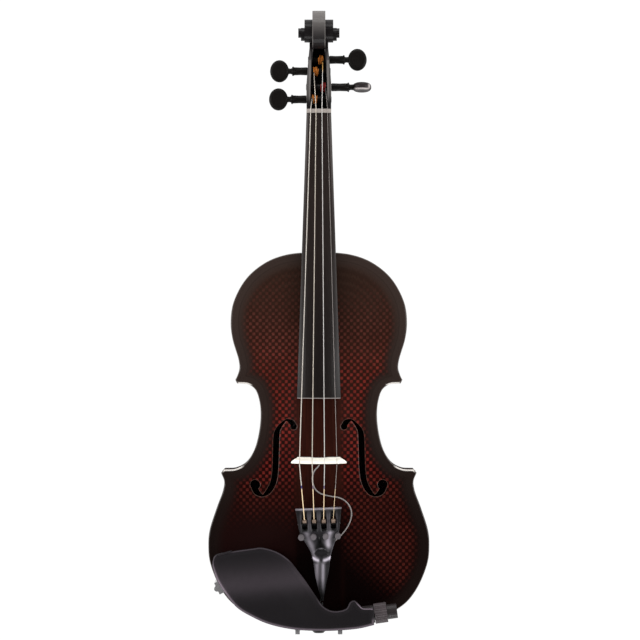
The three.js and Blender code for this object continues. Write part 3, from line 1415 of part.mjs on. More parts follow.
add('saddle', saddle(), ebony);
add('tail_cord', tailCord(), tailCordPlastic);
add('end_button', endButton(), ebony);
add('chin_rest', chinRest(), chinRestBlack);
add('chin_rest_cork', footCork(), cork);
for (const [side, label] of [[-1, 'left'], [1, 'right']]) {
  add(`clamp_hook_${label}`, clampHook(), steel).position.x = side * hookX;
  add(`clamp_barrel_${label}`, barrel(), steel).position.set(side * hookX, barrelY, 0);
}
add('clamp_foot', clampFoot(), steel);
add('side_clamp', sideClamp(), steel);
add('jack_bracket', jackBracket(), blackMetal);
add('jack_nut', jackNut(), blackMetal, jackGroup);
add('jack_socket', jackBushing(), blackMetal, jackGroup);
add('jack_contact', jackContact(), brassy, jackGroup);

// The rear rib is bored for the end button.
const lowerRib = violin.getObjectByName('rib_lower');
lowerRib.geometry = surface(solid(lowerRib.geometry).subtract(buttonHole));

// Set the violin on the floor, with the origin under the middle of its box.
const bounds = new THREE.Box3().setFromObject(violin);
violin.position.set(-(bounds.min.x + bounds.max.x) / 2, -(bounds.min.y + bounds.max.y) / 2, -bounds.min.z);

export default violin;
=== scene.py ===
import functools
import math

import bmesh
import bpy
import numpy as np
from mathutils import Matrix, Vector
from mathutils.geometry import delaunay_2d_cdt


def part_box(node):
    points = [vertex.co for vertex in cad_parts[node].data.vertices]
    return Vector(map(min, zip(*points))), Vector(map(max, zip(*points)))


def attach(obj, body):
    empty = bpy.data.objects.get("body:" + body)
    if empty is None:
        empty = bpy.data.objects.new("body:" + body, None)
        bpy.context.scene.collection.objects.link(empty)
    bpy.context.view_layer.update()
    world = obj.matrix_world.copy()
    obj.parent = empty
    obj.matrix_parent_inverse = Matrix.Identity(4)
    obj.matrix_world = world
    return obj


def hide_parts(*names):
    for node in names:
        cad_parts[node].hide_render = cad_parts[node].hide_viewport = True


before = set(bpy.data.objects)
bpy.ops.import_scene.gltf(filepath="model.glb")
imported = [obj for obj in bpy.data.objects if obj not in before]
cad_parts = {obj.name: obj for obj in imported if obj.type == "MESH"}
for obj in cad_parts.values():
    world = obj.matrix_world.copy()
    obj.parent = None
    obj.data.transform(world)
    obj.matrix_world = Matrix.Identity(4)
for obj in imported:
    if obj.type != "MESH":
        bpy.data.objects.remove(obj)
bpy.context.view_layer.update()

# Lengths are in millimetres of the body's own frame, where y is 0 at the bottom of the belly and z is 0
# where the belly meets the ribs, until point() turns them into metres.
MM = 0.001
BODY_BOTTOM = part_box("top_plate")[0][1]
RIB_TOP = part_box("top_plate")[0][2]
VIOLIN = "violin"

# Camera, straight above the belly
PHOTO_MM = 610
CAMERA_HEIGHT = 3000
CAMERA_X = 1.1
CAMERA_Y = 290.7
EDGE_HEIGHT = 4
WORLD_LIGHT = 0.8
WORLD_GLOSS = 0.03
SENSOR = 36
CLIP_END = 20
FLOOR_HALF = 4
FLOOR_GLOW = 1.06
FLOOR_GLOW_SHARE = 0.9

# Softboxes: place and aim in metres, size and watts
SOFTBOXES = {
    "left": ((-1.9, 0.1, 0.75), (0, 0, 0), (0.6, 2.2), 26),
    "right": ((1.9, 0.1, 0.75), (0, 0, 0), (0.6, 2.2), 26),
    "head": ((0, 2.1, 0.8), (0, 0.1, 0), (2, 0.5), 20),
    "tail": ((0, -2.1, 0.8), (0, -0.1, 0), (2, 0.5), 16),
}

# Body
BODY_LENGTH = 356
UPPER_HALF = 84.1
WAIST_HALF = 55.5
LOWER_HALF = 105.36
UPPER_CORNER_Y = 233.7
WAIST_TOP_Y = 230.2
WAIST_BOTTOM_Y = 148.1
LOWER_CORNER_Y = 145
UPPER_SHARES = [
    (0, 1), (0.366, 0.976), (0.605, 0.914), (0.823, 0.789), (0.969, 0.602), (1, 0.448), (0.98, 0.321),
    (0.908, 0.149), (0.901, 0.086), (0.928, 0.026), (0.948, 0),
]
WAIST_SHARES = [
    (1.405, 1), (1.216, 0.989), (1.094, 0.931), (1.02, 0.793), (1, 0.621), (1.036, 0.405), (1.117, 0.218),
    (1.259, 0.0714), (1.429, 0.009), (1.631, 0),
]
LOWER_SHARES = [
    (0.885, 1), (0.857, 0.945), (0.866, 0.888), (0.925, 0.769), (0.989, 0.621), (1, 0.531), (0.985, 0.411),
    (0.878, 0.227), (0.747, 0.121), (0.427, 0.018), (0, 0),
]
EDGE_THICK = 4
PLATE_THICK = 3
ARCH = 11.5
PLATFORM = 5
RIB_HEIGHT = 31
OVERHANG = 2.5
RIB_THICK = 1.2
RIB_ROOM = 0.2
FLUTE_DEPTH = 0.35
BUTTON_RADIUS = 10.5
HEEL_HALF = 16.4
HEEL_NOTCH = 2.8
HEEL_RIB_HALF = 10.9
TOP_ZONE = 12
OUTLINE_GAP = 1.6
BELLY_GRID = 4.2
BACK_GRID = 4.6
RINGS = (0.3, 0.75, 1.25, 1.8, 2.8, 4.2, 5.6, 7, 8.6, 10.6)
HOLE_RINGS = (0.25, 0.55, 1.1)
FLUTE_AT = 5.5
FLUTE_WIDTH = 2.2
OUTER_ROUND = 1.8
INNER_ROUND = 1.6
HOLE_ROUND = 0.45

# Belly varnish: where each fade starts and where it ends
HALVES_BLEND = 8
FADE_DRIFT = 30
TOP_FADE_RIGHT = (338, 248)
TOP_FADE_LEFT = (350, 252)
LOW_FADE_RIGHT = (46, 128)
LOW_END_RIGHT = (8, 40)
LOW_FADE_LEFT = (84, 128)
CENTRE_FADE = (19, 27)
BOARD_FADE = (218, 232)
EDGE_FADE = (6, 19)
PURFLING = (6.9, 7.3, 7.8, 8.2)
DOT_PITCH_ACROSS = 6.2
DOT_PITCH_ALONG = 6.45
FINE_BUMP = 0.00005
COARSE_BUMP = 0.0001

# Sound holes, on the bass side
UPPER_EYE = (-24, 189.4, 3.1)
LOWER_EYE = (-60.7, 133.8, 4.7)
OUTER_EDGE = [
    (-21.8, 191.6), (-24.3, 195.2), (-28.3, 196.5), (-31.6, 196), (-35, 193.7), (-37.9, 191),
    (-40.5, 188), (-42.3, 184.3), (-43.4, 177.6), (-43.7, 167.7), (-44, 154.2), (-44.7, 144.2),
    (-46, 137.2), (-48.3, 131.8), (-51.5, 126.6), (-53.4, 124.6), (-55.5, 126.4), (-57.6, 129.6),
]
INNER_EDGE = [
    (-64, 129.8), (-61.8, 125.8), (-57.8, 123.2), (-53, 122.6), (-48.3, 124.3), (-45, 127.3),
    (-42.3, 131.5), (-40.3, 136.9), (-39, 144.2), (-38.3, 154.2), (-38, 164.3), (-37.6, 177.6),
    (-37, 185), (-35, 189.3), (-32.6, 192.8), (-31, 194.6), (-28.5, 192.6), (-27, 190.6),
]

# Fingerboard, neck and nut
BOARD_END_Y = 216.5
NUT_Y = 488.4
NUT_DEPTH = 3.8
BOARD_RADIUS = 42
BOARD_TOP_AT_NUT = 2.2
BOARD_TOP_AT_BODY = 18.5
BOARD_WIDTH_AT_NUT = 23.6
BOARD_WIDTH_AT_END = 41.4
NUT_RISE = 0.6
BOARD_EDGE = 4.5
BOARD_ROUND = 0.7
BOARD_INSETS = [(0, 0.9), (0.1, 0.5), (0.35, 0.18), (0.9, 0), (60, 0), (150, 0)]

# Pegs: string, side, y, z, roll and where the string meets the peg
PEGS = {
    "g": (-1, 502.4, -17, 0.0, -6.2),
    "d": (-1, 529.8, -22, 0.1, -5.0),
    "a": (1, 541.0, -24.4, -0.08, 3.8),
    "e": (1, 514.2, -19, 1.4, 6.2),
}
PEG_TIP = 3
PEG_SHAFT = 3.4
PEG_COLLAR = 3.9
PEG_COLLAR_LENGTH = 12.9
PEG_RING = 4.6
PEG_RING_WIDTH = 1.4
PEG_NECK = 2.8
PEG_NECK_LENGTH = 3.2
THUMB_WIDTH = 18.2
THUMB_HEIGHT = 21.4
THUMB_THICK = 7.6
E_PEG_OUT = 2.4
EDGE_THUMB_X = 33.5
PEGBOX_SIDES = [(478, 10.6), (488.4, 11.7), (515, 12), (540, 10.2), (552, 9), (560, 9)]
THUMB_RINGS = 15
THUMB_SIDES = 44
WINDING_RADIUS = PEG_SHAFT + 0.3 + 0.45
STRING_START = 4.8

# Strings: x on the nut and on the bridge, channel in the tailpiece and radius
STRINGS = {
    "g": (-7.8, -18.2, 0, 0.42),
    "d": (-2.7, -6.3, 1, 0.38),
    "a": (3.0, 5.3, 2, 0.33),
    "e": (8.2, 17.0, 3, 0.2),
}
# Their metal, their silk and the band where the tail's silk begins
STRING_COLOURS = {
    "g": ((222, 214, 204), (222, 178, 92), (44, 44, 110)),
    "d": ((212, 202, 188), (214, 166, 88), (120, 100, 120)),
    "a": ((226, 222, 218), (222, 172, 96), (110, 100, 130)),
    "e": ((168, 160, 156), (206, 158, 74), (168, 160, 156)),
}
STRING_GAP = 0.2
STRING_TWIST = 14
SILK_TOP_Y = 131.5
SILK_BAND = 3.6

# Bridge
BRIDGE_TAIL_Y = 155
BRIDGE_CROWN_DEPTH = 1.8
BRIDGE_FOOT_DEPTH = 5.1
BRIDGE_SHIFT = 0.5
CROWN_RADIUS = 42
BRIDGE_HALF = 25.8
BRIDGE_HEIGHT = 33.4
CROWN_Z = EDGE_THICK + ARCH + BRIDGE_HEIGHT
WING_CHAMFER = 4.8
BRIDGE_ROUND = 0.45
BRIDGE_GAP = 0.8
BRIDGE_GRID = 1.6
BRIDGE_SHARES = [
    (0.8, 0.05), (0.79, 0.09), (0.66, 0.16), (0.62, 0.29), (0.79, 0.37), (1, 0.5), (1, 0.62), (0.86, 0.74),
    (0.77, 0.79), (0.74, 0.87),
]
BRIDGE_ARCH_SHARES = [(0.3, 0.05), (0.25, 0.18), (0.17, 0.27), (0, 0.3)]

# Tailpiece, in its own frame
TAIL_AT = (-0.4, 112.2, 29)
TAIL_LEAN = 0.04
TAIL_PITCH = 0.14
TAIL_LENGTH = 90
TAIL_HALF = 21.9
TAIL_THICK = 7
TAIL_SHARES = [
    (1, 0), (0.97, 0.045), (0.915, 0.15), (0.87, 0.23), (0.78, 0.3), (0.68, 0.35), (0.58, 0.4), (0.49, 0.45),
    (0.43, 0.49), (0.38, 0.544), (0.34, 0.632), (0.285, 0.72), (0.207, 0.81), (0.14, 0.89), (0.08, 0.96),
    (0.05, 1),
]
TAIL_DRIFT = 1.1
TAIL_RETURN = 1
TAIL_GAP = 1.1
TAIL_GRID = 0.95
TAIL_RINGS = (0.2, 0.6, 1.1, 1.8, 2.6)
SLOT_GAP = 0.9
SLOT_RINGS = (0.2, 0.5)
HOLLOW_Y = -43.2
HOLLOW_HALF = 7
HOLLOW_TALL = 3.8
SLOT_START = 8.4
SLOT_END = 19.8
CHANNEL_PITCH = 9.1
CHANNEL_HALF = 2.45
HOOK_Y = -11.6
HOOK_RISE = 1.6
HOOK_RADIUS = 1.3
LEVER_BRIGHT_Y = 98.6
LEVER_BRIGHT_Z = 27.5

# Chin rest
CHIN_LEFT = -100.8
CHIN_LENGTH = 153.1
CHIN_BOTTOM = -2.4
CHIN_DEPTH = 77.7
CHIN_DROP = 1
CHIN_LIFT = 1.9
CHIN_THICK = 4.4
CHIN_DISH = 4.2
CHIN_HIGH_LEFT = 25.5
CHIN_HIGH_RIGHT = 29.4
CHIN_HIGHLIGHT_Y = 37
CHIN_HIGHLIGHT_SLOPE = 0.09
CHIN_GAP = 1.4
CHIN_GRID = 3
CHIN_RINGS = (0.2, 0.5, 0.9, 1.6, 2.6, 3.6, 4.4, 5.2, 7)
CHIN_BAR = [(-96.6, 67.6), (-96, 67.8), (-83, 71.6), (-82.4, 71.8)]
FOOT_INNER = 17.9
FOOT_OUTER = 33.5
FOOT_LOW_Y = 1.4
FOOT_HIGH_Y = 11
CORK_TOP = 8.6
CHIN_UPPER_SHARES = [
    (0, 0.83), (0.01, 0.889), (0.033, 0.922), (0.118, 0.953), (0.253, 0.99), (0.3, 1), (0.395, 0.951),
    (0.472, 0.853), (0.529, 0.718), (0.585, 0.57), (0.643, 0.399), (0.681, 0.288), (0.728, 0.221),
    (0.777, 0.208), (0.828, 0.239), (0.852, 0.318), (0.878, 0.336), (0.909, 0.282), (0.929, 0.246),
    (0.986, 0.264), (1, 0.25),
]
CHIN_LOWER_SHARES = [
    (0, 0.767), (0.024, 0.619), (0.081, 0.435), (0.157, 0.27), (0.253, 0.16), (0.347, 0.08), (0.491, 0.018),
    (0.662, 0), (0.777, 0.006), (0.909, 0.031), (1, 0.073),
]

# Pickup lead, from the bridge to the jack
LEAD_RADIUS = 0.62
LEAD_ROUTE = [
    (0.7, 154.6, 38), (-1, 152.2, 37.4), (-3.4, 149.4, 33), (-5.2, 145.6, 26), (-6, 140.6, 19.6),
    (-5.6, 135.4, 16.9), (-3.4, 130.2, 16.5), (0.6, 126.6, 16.4), (5.6, 124.6, 16.4), (12, 123.2, 16.3),
    (18.6, 122.2, 16.1), (24.4, 119.4, 15.9), (28.8, 114.6, 15.6), (30.9, 108.6, 15.3), (30.4, 102, 15.2),
    (27.6, 95, 15.2), (23, 88.6, 15.2), (17.4, 83, 15), (11.2, 77.6, 14.8), (6, 71.4, 14.4), (3.2, 63.6, 13.8),
    (2.2, 55, 12.8), (2.1, 46, 11.6), (2.4, 38, 10.5), (2.6, 31, 9.5), (2, 25, 8.6), (0.6, 19.6, 7.7),
    (1.6, 15.2, 6.9), (6.4, 12.8, 6.6), (12.6, 12.2, 6.6), (19, 12.2, 6.8), (25.4, 12.3, 7.4),
    (30.2, 12.7, 8.9), (33.8, 13.5, 11.3), (36.2, 14.4, 13.2),
]


def point(p):
    """A point of the body's frame, in the row frame."""
    return (p[0] * MM, p[1] * MM + BODY_BOTTOM, p[2] * MM + RIB_TOP)


# Curves and distances
def ease(low, high, value):
    """0 to 1 as the value goes from low to high, smoothly."""
    share = np.clip((value - low) / (high - low), 0, 1)
    return share * share * (3 - 2 * share)


def curve_through(points, steps):
    """Centripetal Catmull-Rom curve through points of any number of axes."""
    points = [np.array(p, float) for p in points]
    padded = [2 * points[0] - points[1], *points, 2 * points[-1] - points[-2]]
    knots = [0.0]
    for a, b in zip(padded, padded[1:]):
        knots.append(knots[-1] + math.sqrt(np.linalg.norm(b - a)))
    spans = len(points) - 1
    made = []
    for i in range(steps + 1):
        place = min(i * spans / steps, spans - 1e-9)
        k = int(place)
        near, at = knots[k:k + 4], padded[k:k + 4]
        t = near[1] + (near[2] - near[1]) * (place - k)

        def between(low, high, first, second):
            return (high - t) / (high - low) * first + (t - low) / (high - low) * second

        at = [between(near[j], near[j + 1], at[j], at[j + 1]) for j in range(3)]
        at = [between(near[j], near[j + 2], at[j], at[j + 1]) for j in range(2)]
        made.append(tuple(between(near[1], near[2], *at)))
    return made


def in_parts(at, work):
    """The results of work on parts of a long array, joined."""
    return np.concatenate([work(part) for part in np.array_split(at, max(1, len(at) // 2000))])


def edge_distance(at, loop):
    """Distance from each point to a closed loop."""
    a = np.array(loop)
    d = np.roll(a, -1, 0) - a
    length = np.maximum((d ** 2).sum(1), 1e-12)

    def work(part):
        off = part[:, None, :] - a
        share = np.clip((off * d).sum(2) / length, 0, 1)
        return np.sqrt(((off - share[:, :, None] * d) ** 2).sum(2)).min(1)

    return in_parts(at, work)


def inside(at, loop):
    a = np.array(loop)
    b = np.roll(a, -1, 0)

    def work(part):
        x, y = part[:, :1], part[:, 1:]
        crosses = (a[:, 1] > y) != (b[:, 1] > y)
        height = np.where(b[:, 1] == a[:, 1], 1e-9, b[:, 1] - a[:, 1])
        over = x < (b[:, 0] - a[:, 0]) * (y - a[:, 1]) / height + a[:, 0]
        return (crosses & over).sum(1) % 2 == 1

    return in_parts(at, work)


def spaced(loop, gap):
    """A closed loop with points added where they lie more than a gap apart."""
    made = []
    for a, b in zip(loop, loop[1:] + loop[:1]):
        a, b = np.array(a, float), np.array(b, float)
        count = max(1, math.ceil(np.linalg.norm(b - a) / gap))
        made += [tuple(a + (b - a) * i / count) for i in range(count)]
    return made


def normals(loop):
    """Unit vectors to the left of a closed loop's way."""
    along = np.roll(loop, -1, 0) - np.roll(loop, 1, 0)
    along /= np.linalg.norm(along, axis=1)[:, None]
    return np.stack([-along[:, 1], along[:, 0]], 1)


def bell(value, middle, width):
    return np.exp(-((value - middle) / width) ** 2)


def rounding(at, loops, radius):
    """How far a rounded edge lies below its face."""
    far = np.min([edge_distance(at, loop) for loop in loops], 0)
    return radius * (1 - np.sqrt(1 - np.clip(1 - far / radius, 0, 1) ** 2))


def full_turn(count):
    return [2 * math.pi * k / count for k in range(count)]


def mirrored(points):
    return [(-x, y) for x, y in reversed(points)]


def shaped(shares, half, low, high, steps):
    """Curve through points given as shares of a half width and of the way from low to high."""
    return curve_through([(x * half, low + y * (high - low)) for x, y in shares], steps)


half_outline = (shaped(UPPER_SHARES, UPPER_HALF, UPPER_CORNER_Y, BODY_LENGTH, 110)
                + shaped(WAIST_SHARES, WAIST_HALF, WAIST_BOTTOM_Y, WAIST_TOP_Y, 80)
                + shaped(LOWER_SHARES, LOWER_HALF, 0, LOWER_CORNER_Y, 130))
outline = spaced(half_outline + mirrored(half_outline)[1:-1], OUTLINE_GAP)


def board_half(y):
    return (BOARD_WIDTH_AT_NUT + (NUT_Y - y) * (BOARD_WIDTH_AT_END - BOARD_WIDTH_AT_NUT)
            / (NUT_Y - BOARD_END_Y)) / 2


# Meshes
def new_object(name, data):
    obj = bpy.data.objects.new(name, data)
    bpy.context.scene.collection.objects.link(obj)
    return obj


def mesh_object(name, verts, faces, material, replaces, slot, body=VIOLIN, angle=40):
    mesh = bpy.data.meshes.new(name)
    mesh.from_pydata([point(v) for v in verts], [], [tuple(f) for f in faces])
    mesh.validate()
    mesh.materials.append(material)
    obj = new_object(name, mesh)
    whole = bmesh.new()
    whole.from_mesh(mesh)
    bmesh.ops.recalc_face_normals(whole, faces=whole.faces)
    whole.to_mesh(mesh)
    whole.free()
    mesh.shade_smooth()
    mesh.set_sharp_from_angle(angle=math.radians(angle))
    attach(obj, body)
    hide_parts(*replaces)
    return obj


def slab(outer, holes, top, bottom, rings, grid, hole_rings=()):
    """A sheet between two height functions, inside an outline and round its holes."""
    loops = [outer, *holes]
    points = []
    for loop in loops:
        a, normal = np.array(loop), normals(loop)
        for step in rings if loop is outer else hole_rings:
            for ring in (a + normal * step, a - normal * step):
                far = edge_distance(ring, loop) > step * 0.93
                points.append(ring[far & inside(ring, outer)])
    low, high = np.min(outer, 0), np.max(outer, 0)
    lattice = np.array([(x + (i % 2) * grid / 2, y) for i, y in enumerate(np.arange(low[1], high[1], grid))
                        for x in np.arange(low[0], high[0], grid)])
    lattice = lattice[inside(lattice, outer)]
    far = edge_distance(lattice, outer) > max(rings) + grid * 0.4
    for hole in holes:
        far &= edge_distance(lattice, hole) > max(hole_rings) + grid * 0.3
    points.append(lattice[far])

    def within(at):
        kept = inside(at, outer)
        for hole in holes:
            kept &= ~inside(at, hole)
        return kept

    free = np.concatenate(points)
    verts = [Vector(p) for group in (*loops, free[within(free)]) for p in group]
    edges = []
    start = 0
    for loop in loops:
        edges += [(start + i, start + (i + 1) % len(loop)) for i in range(len(loop))]
        start += len(loop)
    flat, _, faces, *_ = delaunay_2d_cdt(verts, edges, [], 0, 1e-4)
    flat = np.array([tuple(v) for v in flat])
    faces = np.array([tuple(f) for f in faces])
    faces = faces[within(flat[faces].mean(1))]
    used = np.unique(faces)
    place = np.full(len(flat), -1)
    place[used] = np.arange(len(used))
    faces, flat = place[faces], flat[used]
    count = len(flat)
    rims = {}
    for a, b, c in faces:
        for edge in ((a, b), (b, c), (c, a)):
            if not rims.pop(edge[::-1], False):
                rims[edge] = True
    solid = [*faces, *(faces[:, ::-1] + count)]
    solid += [(b, a, a + count, b + count) for a, b in rims]
    verts = np.concatenate([np.column_stack([flat, top(flat)]), np.column_stack([flat, bottom(flat)])])
    return verts, solid, flat


def loft(rings):
    """Skin through rings of points, with a fan on each end."""
    count = len(rings[0])
    verts = [tuple(p) for ring in rings for p in ring]
    faces = []
    for r in range(len(rings) - 1):
        for i in range(count):
            k = (i + 1) % count
            faces.append((r * count + i, r * count + k, (r + 1) * count + k, (r + 1) * count + i))
    faces.append(tuple(range(count)))
    faces.append(tuple(range(len(rings) * count - 1, (len(rings) - 1) * count - 1, -1)))
    return verts, faces


def tube(route, radius, sides=12):
    """Round tube through every point."""
    route = [Vector(p) for p in route]
    normal = Vector((0, 0, 1))
    rings = []
    for i, at in enumerate(route):
        along = (route[min(i + 1, len(route) - 1)] - route[max(i - 1, 0)]).normalized()
        normal = (normal - along * normal.dot(along)).normalized()
        other = along.cross(normal)
        rings.append([tuple(at + (normal * math.cos(t) + other * math.sin(t)) * radius) for t in full_turn(sides)])
    return loft(rings)


def turned(profile, sides=36):
    """Piece turned about x, with profile [(radius, place along x)]."""
    return loft([[(along, max(radius, 0.001) * math.cos(t), max(radius, 0.001) * math.sin(t))
                  for t in full_turn(sides)] for radius, along in profile])


def joined(parts):
    verts, faces = [], []
    for part_verts, part_faces in parts:
        start = len(verts)
        verts += [tuple(v) for v in part_verts]
        faces += [tuple(start + i for i in f) for f in part_faces]
    return verts, faces


# Materials
class Value:
    """A node's output. Arithmetic on it adds maths nodes to its tree."""

    def __init__(self, socket):
        self.socket = socket
        self.tree = socket.id_data

    def apply(self, operation, *others):
        return maths(operation, self, *others)

    __add__ = __radd__ = functools.partialmethod(apply, "ADD")
    __mul__ = functools.partialmethod(apply, "MULTIPLY")
    __sub__ = functools.partialmethod(apply, "SUBTRACT")
    __truediv__ = functools.partialmethod(apply, "DIVIDE")
    __abs__ = functools.partialmethod(apply, "ABSOLUTE")

    def __rsub__(self, other):
        return maths("SUBTRACT", other, self)

    def ramp(self, low, high):
        """0 to 1 as the value goes from low to high, smoothly."""
        limits = {"From Min": min(low, high), "From Max": max(low, high), "To Min": float(low > high),
                  "To Max": float(low < high)}
        return add_node(self.tree, "MapRange", {"Value": self, **limits}, interpolation_type="SMOOTHSTEP")

    def band(self, start, full, last, end):
        """1 between full and last, 0 before start and after end."""
        return self.ramp(start, full) * self.ramp(end, last)

    def mix(self, first, second):
        """From the first colour at 0 to the second at 1. Each may be a value or an 8-bit display colour."""
        first, second = (rgb(*c) if isinstance(c, tuple) else c for c in (first, second))
        return add_node(self.tree, "Mix", {0: self, 6: first, 7: second}, 2, data_type="RGBA")


def feed(value, socket):
    """Link a value to a socket, or set a constant on it."""
    if isinstance(value, Value):
        socket.id_data.links.new(value.socket, socket)
    else:
        socket.default_value = value


def add_node(tree, kind, inputs=(), output=0, **settings):
    node = tree.nodes.new("ShaderNode" + kind)
    for name, value in settings.items():
        setattr(node, name, value)
    for which, value in dict(inputs).items():
        feed(value, node.inputs[which])
    return Value(node.outputs[output])


def maths(operation, *values):
    tree = next(value.tree for value in values if isinstance(value, Value))
    return add_node(tree, "Math", enumerate(values), operation=operation)


def larger(*values):
    return functools.reduce(functools.partial(maths, "MAXIMUM"), values)


def light(grey):
    """8-bit display greys as linear light."""
    share = np.clip(grey, 0, 255) / 255
    return np.where(share <= 0.04, share / 12.92, ((share + 0.055) / 1.055) ** 2.4)


def rgb(*colour):
    return (*light(colour).tolist(), 1)


class Look:
    """A material with one principled shader."""
    SOCKETS = {"colour": "Base Color", "roughness": "Roughness", "metallic": "Metallic",
               "specular": "Specular IOR Level", "coat": "Coat Weight", "coat_roughness": "Coat Roughness"}

    def __init__(self, name):
        self.material = bpy.data.materials.new(name)
        self.material.use_nodes = True
        self.tree = self.material.node_tree
        self.shader = self.tree.nodes["Principled BSDF"]

    def set(self, **values):
        for name, value in values.items():
            feed(value, self.shader.inputs[self.SOCKETS[name]])
        return self.material

    def varnish(self, colour, specular, roughness=0.4, coat=0.3, coat_roughness=0.04):
        return self.set(colour=colour, specular=specular, roughness=roughness, coat=coat,
                        coat_roughness=coat_roughness)

    def axes(self, output):
        spot = add_node(self.tree, "TexCoord", output=output)
        return [add_node(self.tree, "SeparateXYZ", {0: spot}, axis) for axis in range(3)]

    def place(self):
        """x, y and z of the surface in millimetres of the body's frame."""
        x, y, z = self.axes("Object")
        return x / MM, (y - BODY_BOTTOM) / MM, (z - RIB_TOP) / MM

    def noise(self, scale, stretch=(1, 1, 1), detail=3):
        spot = add_node(self.tree, "TexCoord", output="Object")
        mapped = add_node(self.tree, "Mapping", {"Vector": spot, "Scale": stretch})
        return add_node(self.tree, "TexNoise", {"Vector": mapped, "Scale": scale, "Detail": detail}, "Fac")

    def attribute(self, name):
        return add_node(self.tree, "Attribute", output="Fac", attribute_name=name)

    def bump(self, height, strength, distance):
        made = add_node(self.tree, "Bump", {"Height": height, "Strength": strength, "Distance": distance})
        feed(made, self.shader.inputs["Normal"])


def plain(name, colour, roughness, metallic=0, variation=0.12, grain=900, specular=0.5):
    """A plain surface with faint variation and a fine grain."""
    look = Look(name)
    dark, pale = ([*(min(1, c * share) for c in rgb(*colour)[:3]), 1] for share in (1 - variation, 1 + variation))
    look.bump(look.noise(grain * 4), 0.15, FINE_BUMP)
    return look.set(colour=look.noise(grain / 6).mix(dark, pale), roughness=roughness, metallic=metallic,
                    specular=specular)


def belly_material():
    look = Look("belly_varnish")
    x, y, _ = look.place()
    edge, side = look.attribute("edge"), abs(x)
    right = x.ramp(-HALVES_BLEND, HALVES_BLEND)
    left = 1 - right

    # How strongly the dots show
    drift_y = y + (look.noise(18, detail=2) - 0.5) * FADE_DRIFT
    top_fade = drift_y.ramp(*TOP_FADE_RIGHT) * right + drift_y.ramp(*TOP_FADE_LEFT) * left
    slanted = drift_y + (x - 24) * 1.15
    low_fade = drift_y.ramp(*LOW_FADE_LEFT) * left
    low_fade += right * slanted.ramp(*LOW_FADE_RIGHT) * drift_y.ramp(*LOW_END_RIGHT)
    centre_fade = larger(side.ramp(*CENTRE_FADE), y.ramp(*BOARD_FADE))
    shown = top_fade * low_fade * edge.ramp(*EDGE_FADE)
    patch = look.noise(45, detail=2).ramp(0.3, 0.62)
    speck = (0.55 + patch * 0.45) * look.noise(330, detail=1)
    dots = pattern_mask(x, y) * (shown * centre_fade * (0.2 + speck * 1.4))

    # Wood below the dots
    streak = look.noise(60, (14, 0.5, 1), 4)
    upward = y.ramp(140, 270)
    base = upward.mix(streak.mix((14, 2, 1), (30, 6, 4)), streak.mix((32, 14, 8), (50, 26, 18)))
    middle = y.ramp(60, 160).mix((9, 1, 1), streak.mix((18, 4, 2), (56, 22, 14)))
    rings = maths("SINE", edge * 0.8 + streak * 9)
    grain = (rings * 0.5).mix((39, 25, 19), (49, 34, 27))
    low_veil = (left * y.ramp(30, 90)).mix((8, 1, 1), (24, 7, 6))
    veil = y.ramp(230, 320).mix(low_veil, grain)
    base = larger(shown, 1 - centre_fade).mix(veil, centre_fade.mix(middle, base))

    # Layers over the wood: dots, sunburst, purfling, a painted highlight along the rounded edge, a faint painted
    # highlight round the sound holes and painted glints on the corners
    waist = y.band(120, 160, 220, 290)
    dot_colour = (waist * 0.7).mix(upward.mix((64, 21, 15), (84, 43, 36)), (118, 32, 26))
    burst = y.ramp(60, 330).mix((20, 12, 10), (50, 40, 36))
    # Painted glints on the rounded edges of the upper and lower corners
    upper = y.band(228, 229.5, 233.5, 235) * side.band(61, 65, 76, 78)
    lower = y.band(144.5, 146, 151, 153) * side.band(70, 75, 90, 92)
    colour = base
    # The outer edge and the sound holes' edges are lightened as painted highlights, the corners as painted glints
    for share, tint in [(dots, dot_colour), (edge.ramp(18, 4), burst),
                        (edge.band(*PURFLING) * 0.25, (22, 13, 10)),
                        (edge.ramp(0.9, 0.3) * 0.3, (150, 144, 138)),
                        (look.attribute("hole").ramp(0.7, 0.3) * 0.14, (150, 124, 112)),
                        (larger(upper, lower) * edge.ramp(1.7, 1) * 0.9, (214, 208, 202))]:
        colour = share.mix(colour, tint)
    look.bump(look.noise(220, (6, 0.4, 1)), 0.1, COARSE_BUMP)
    return look.varnish(colour, 0.03, coat=0.2)


def pattern_mask(x, y):
    """Staggered lozenges."""
    across, along = (maths("COSINE", value * (2 * math.pi / pitch))
                     for value, pitch in ((x, DOT_PITCH_ACROSS), (y, DOT_PITCH_ALONG)))
    return (across * along).ramp(-0.2, 0.6)


def flamed_material(name, dark, pale, direction=(0.15, 1, 1)):
    """Dark varnish over faint maple flames."""
    look = Look(name)
    return look.varnish(look.noise(90, direction).mix(dark, pale), 0.3)


def plastic_with_painted_light(name, tint, roughness, specular=0.4):
    """Moulded plastic whose brightness, stored on the mesh, is painted light and shade, from black to its tint."""
    look = Look(name)
    tone = look.attribute("tone") * (0.9 + look.noise(160) * 0.2)
    look.bump(look.noise(3600), 0.12, FINE_BUMP)
    return look.set(colour=tone.mix((0, 0, 0), tint), roughness=roughness, specular=specular)


def board_material():
    """Ebony, lighter along its edges near the nut, with a painted highlight along its end."""
    look = Look("ebony_board")
    x, y, _ = look.place()
    pores = look.noise(90, (9, 0.6, 9))
    colour = y.ramp(230, 420).mix(pores.mix((18, 13, 12), (28, 22, 21)),
                                  pores.mix((28, 20, 18), (42, 33, 30)))
    inset = board_half(y) - abs(x)
    colour = (inset.ramp(2.5, 1.7) * y.ramp(370, 465)).mix(colour, (72, 67, 65))
    # Painted highlight along the board's end
    tip_highlight = y.ramp(BOARD_END_Y + 1, BOARD_END_Y + 0.5)
    return look.set(colour=tip_highlight.mix(colour, (140, 134, 130)), roughness=0.37, specular=0.26)


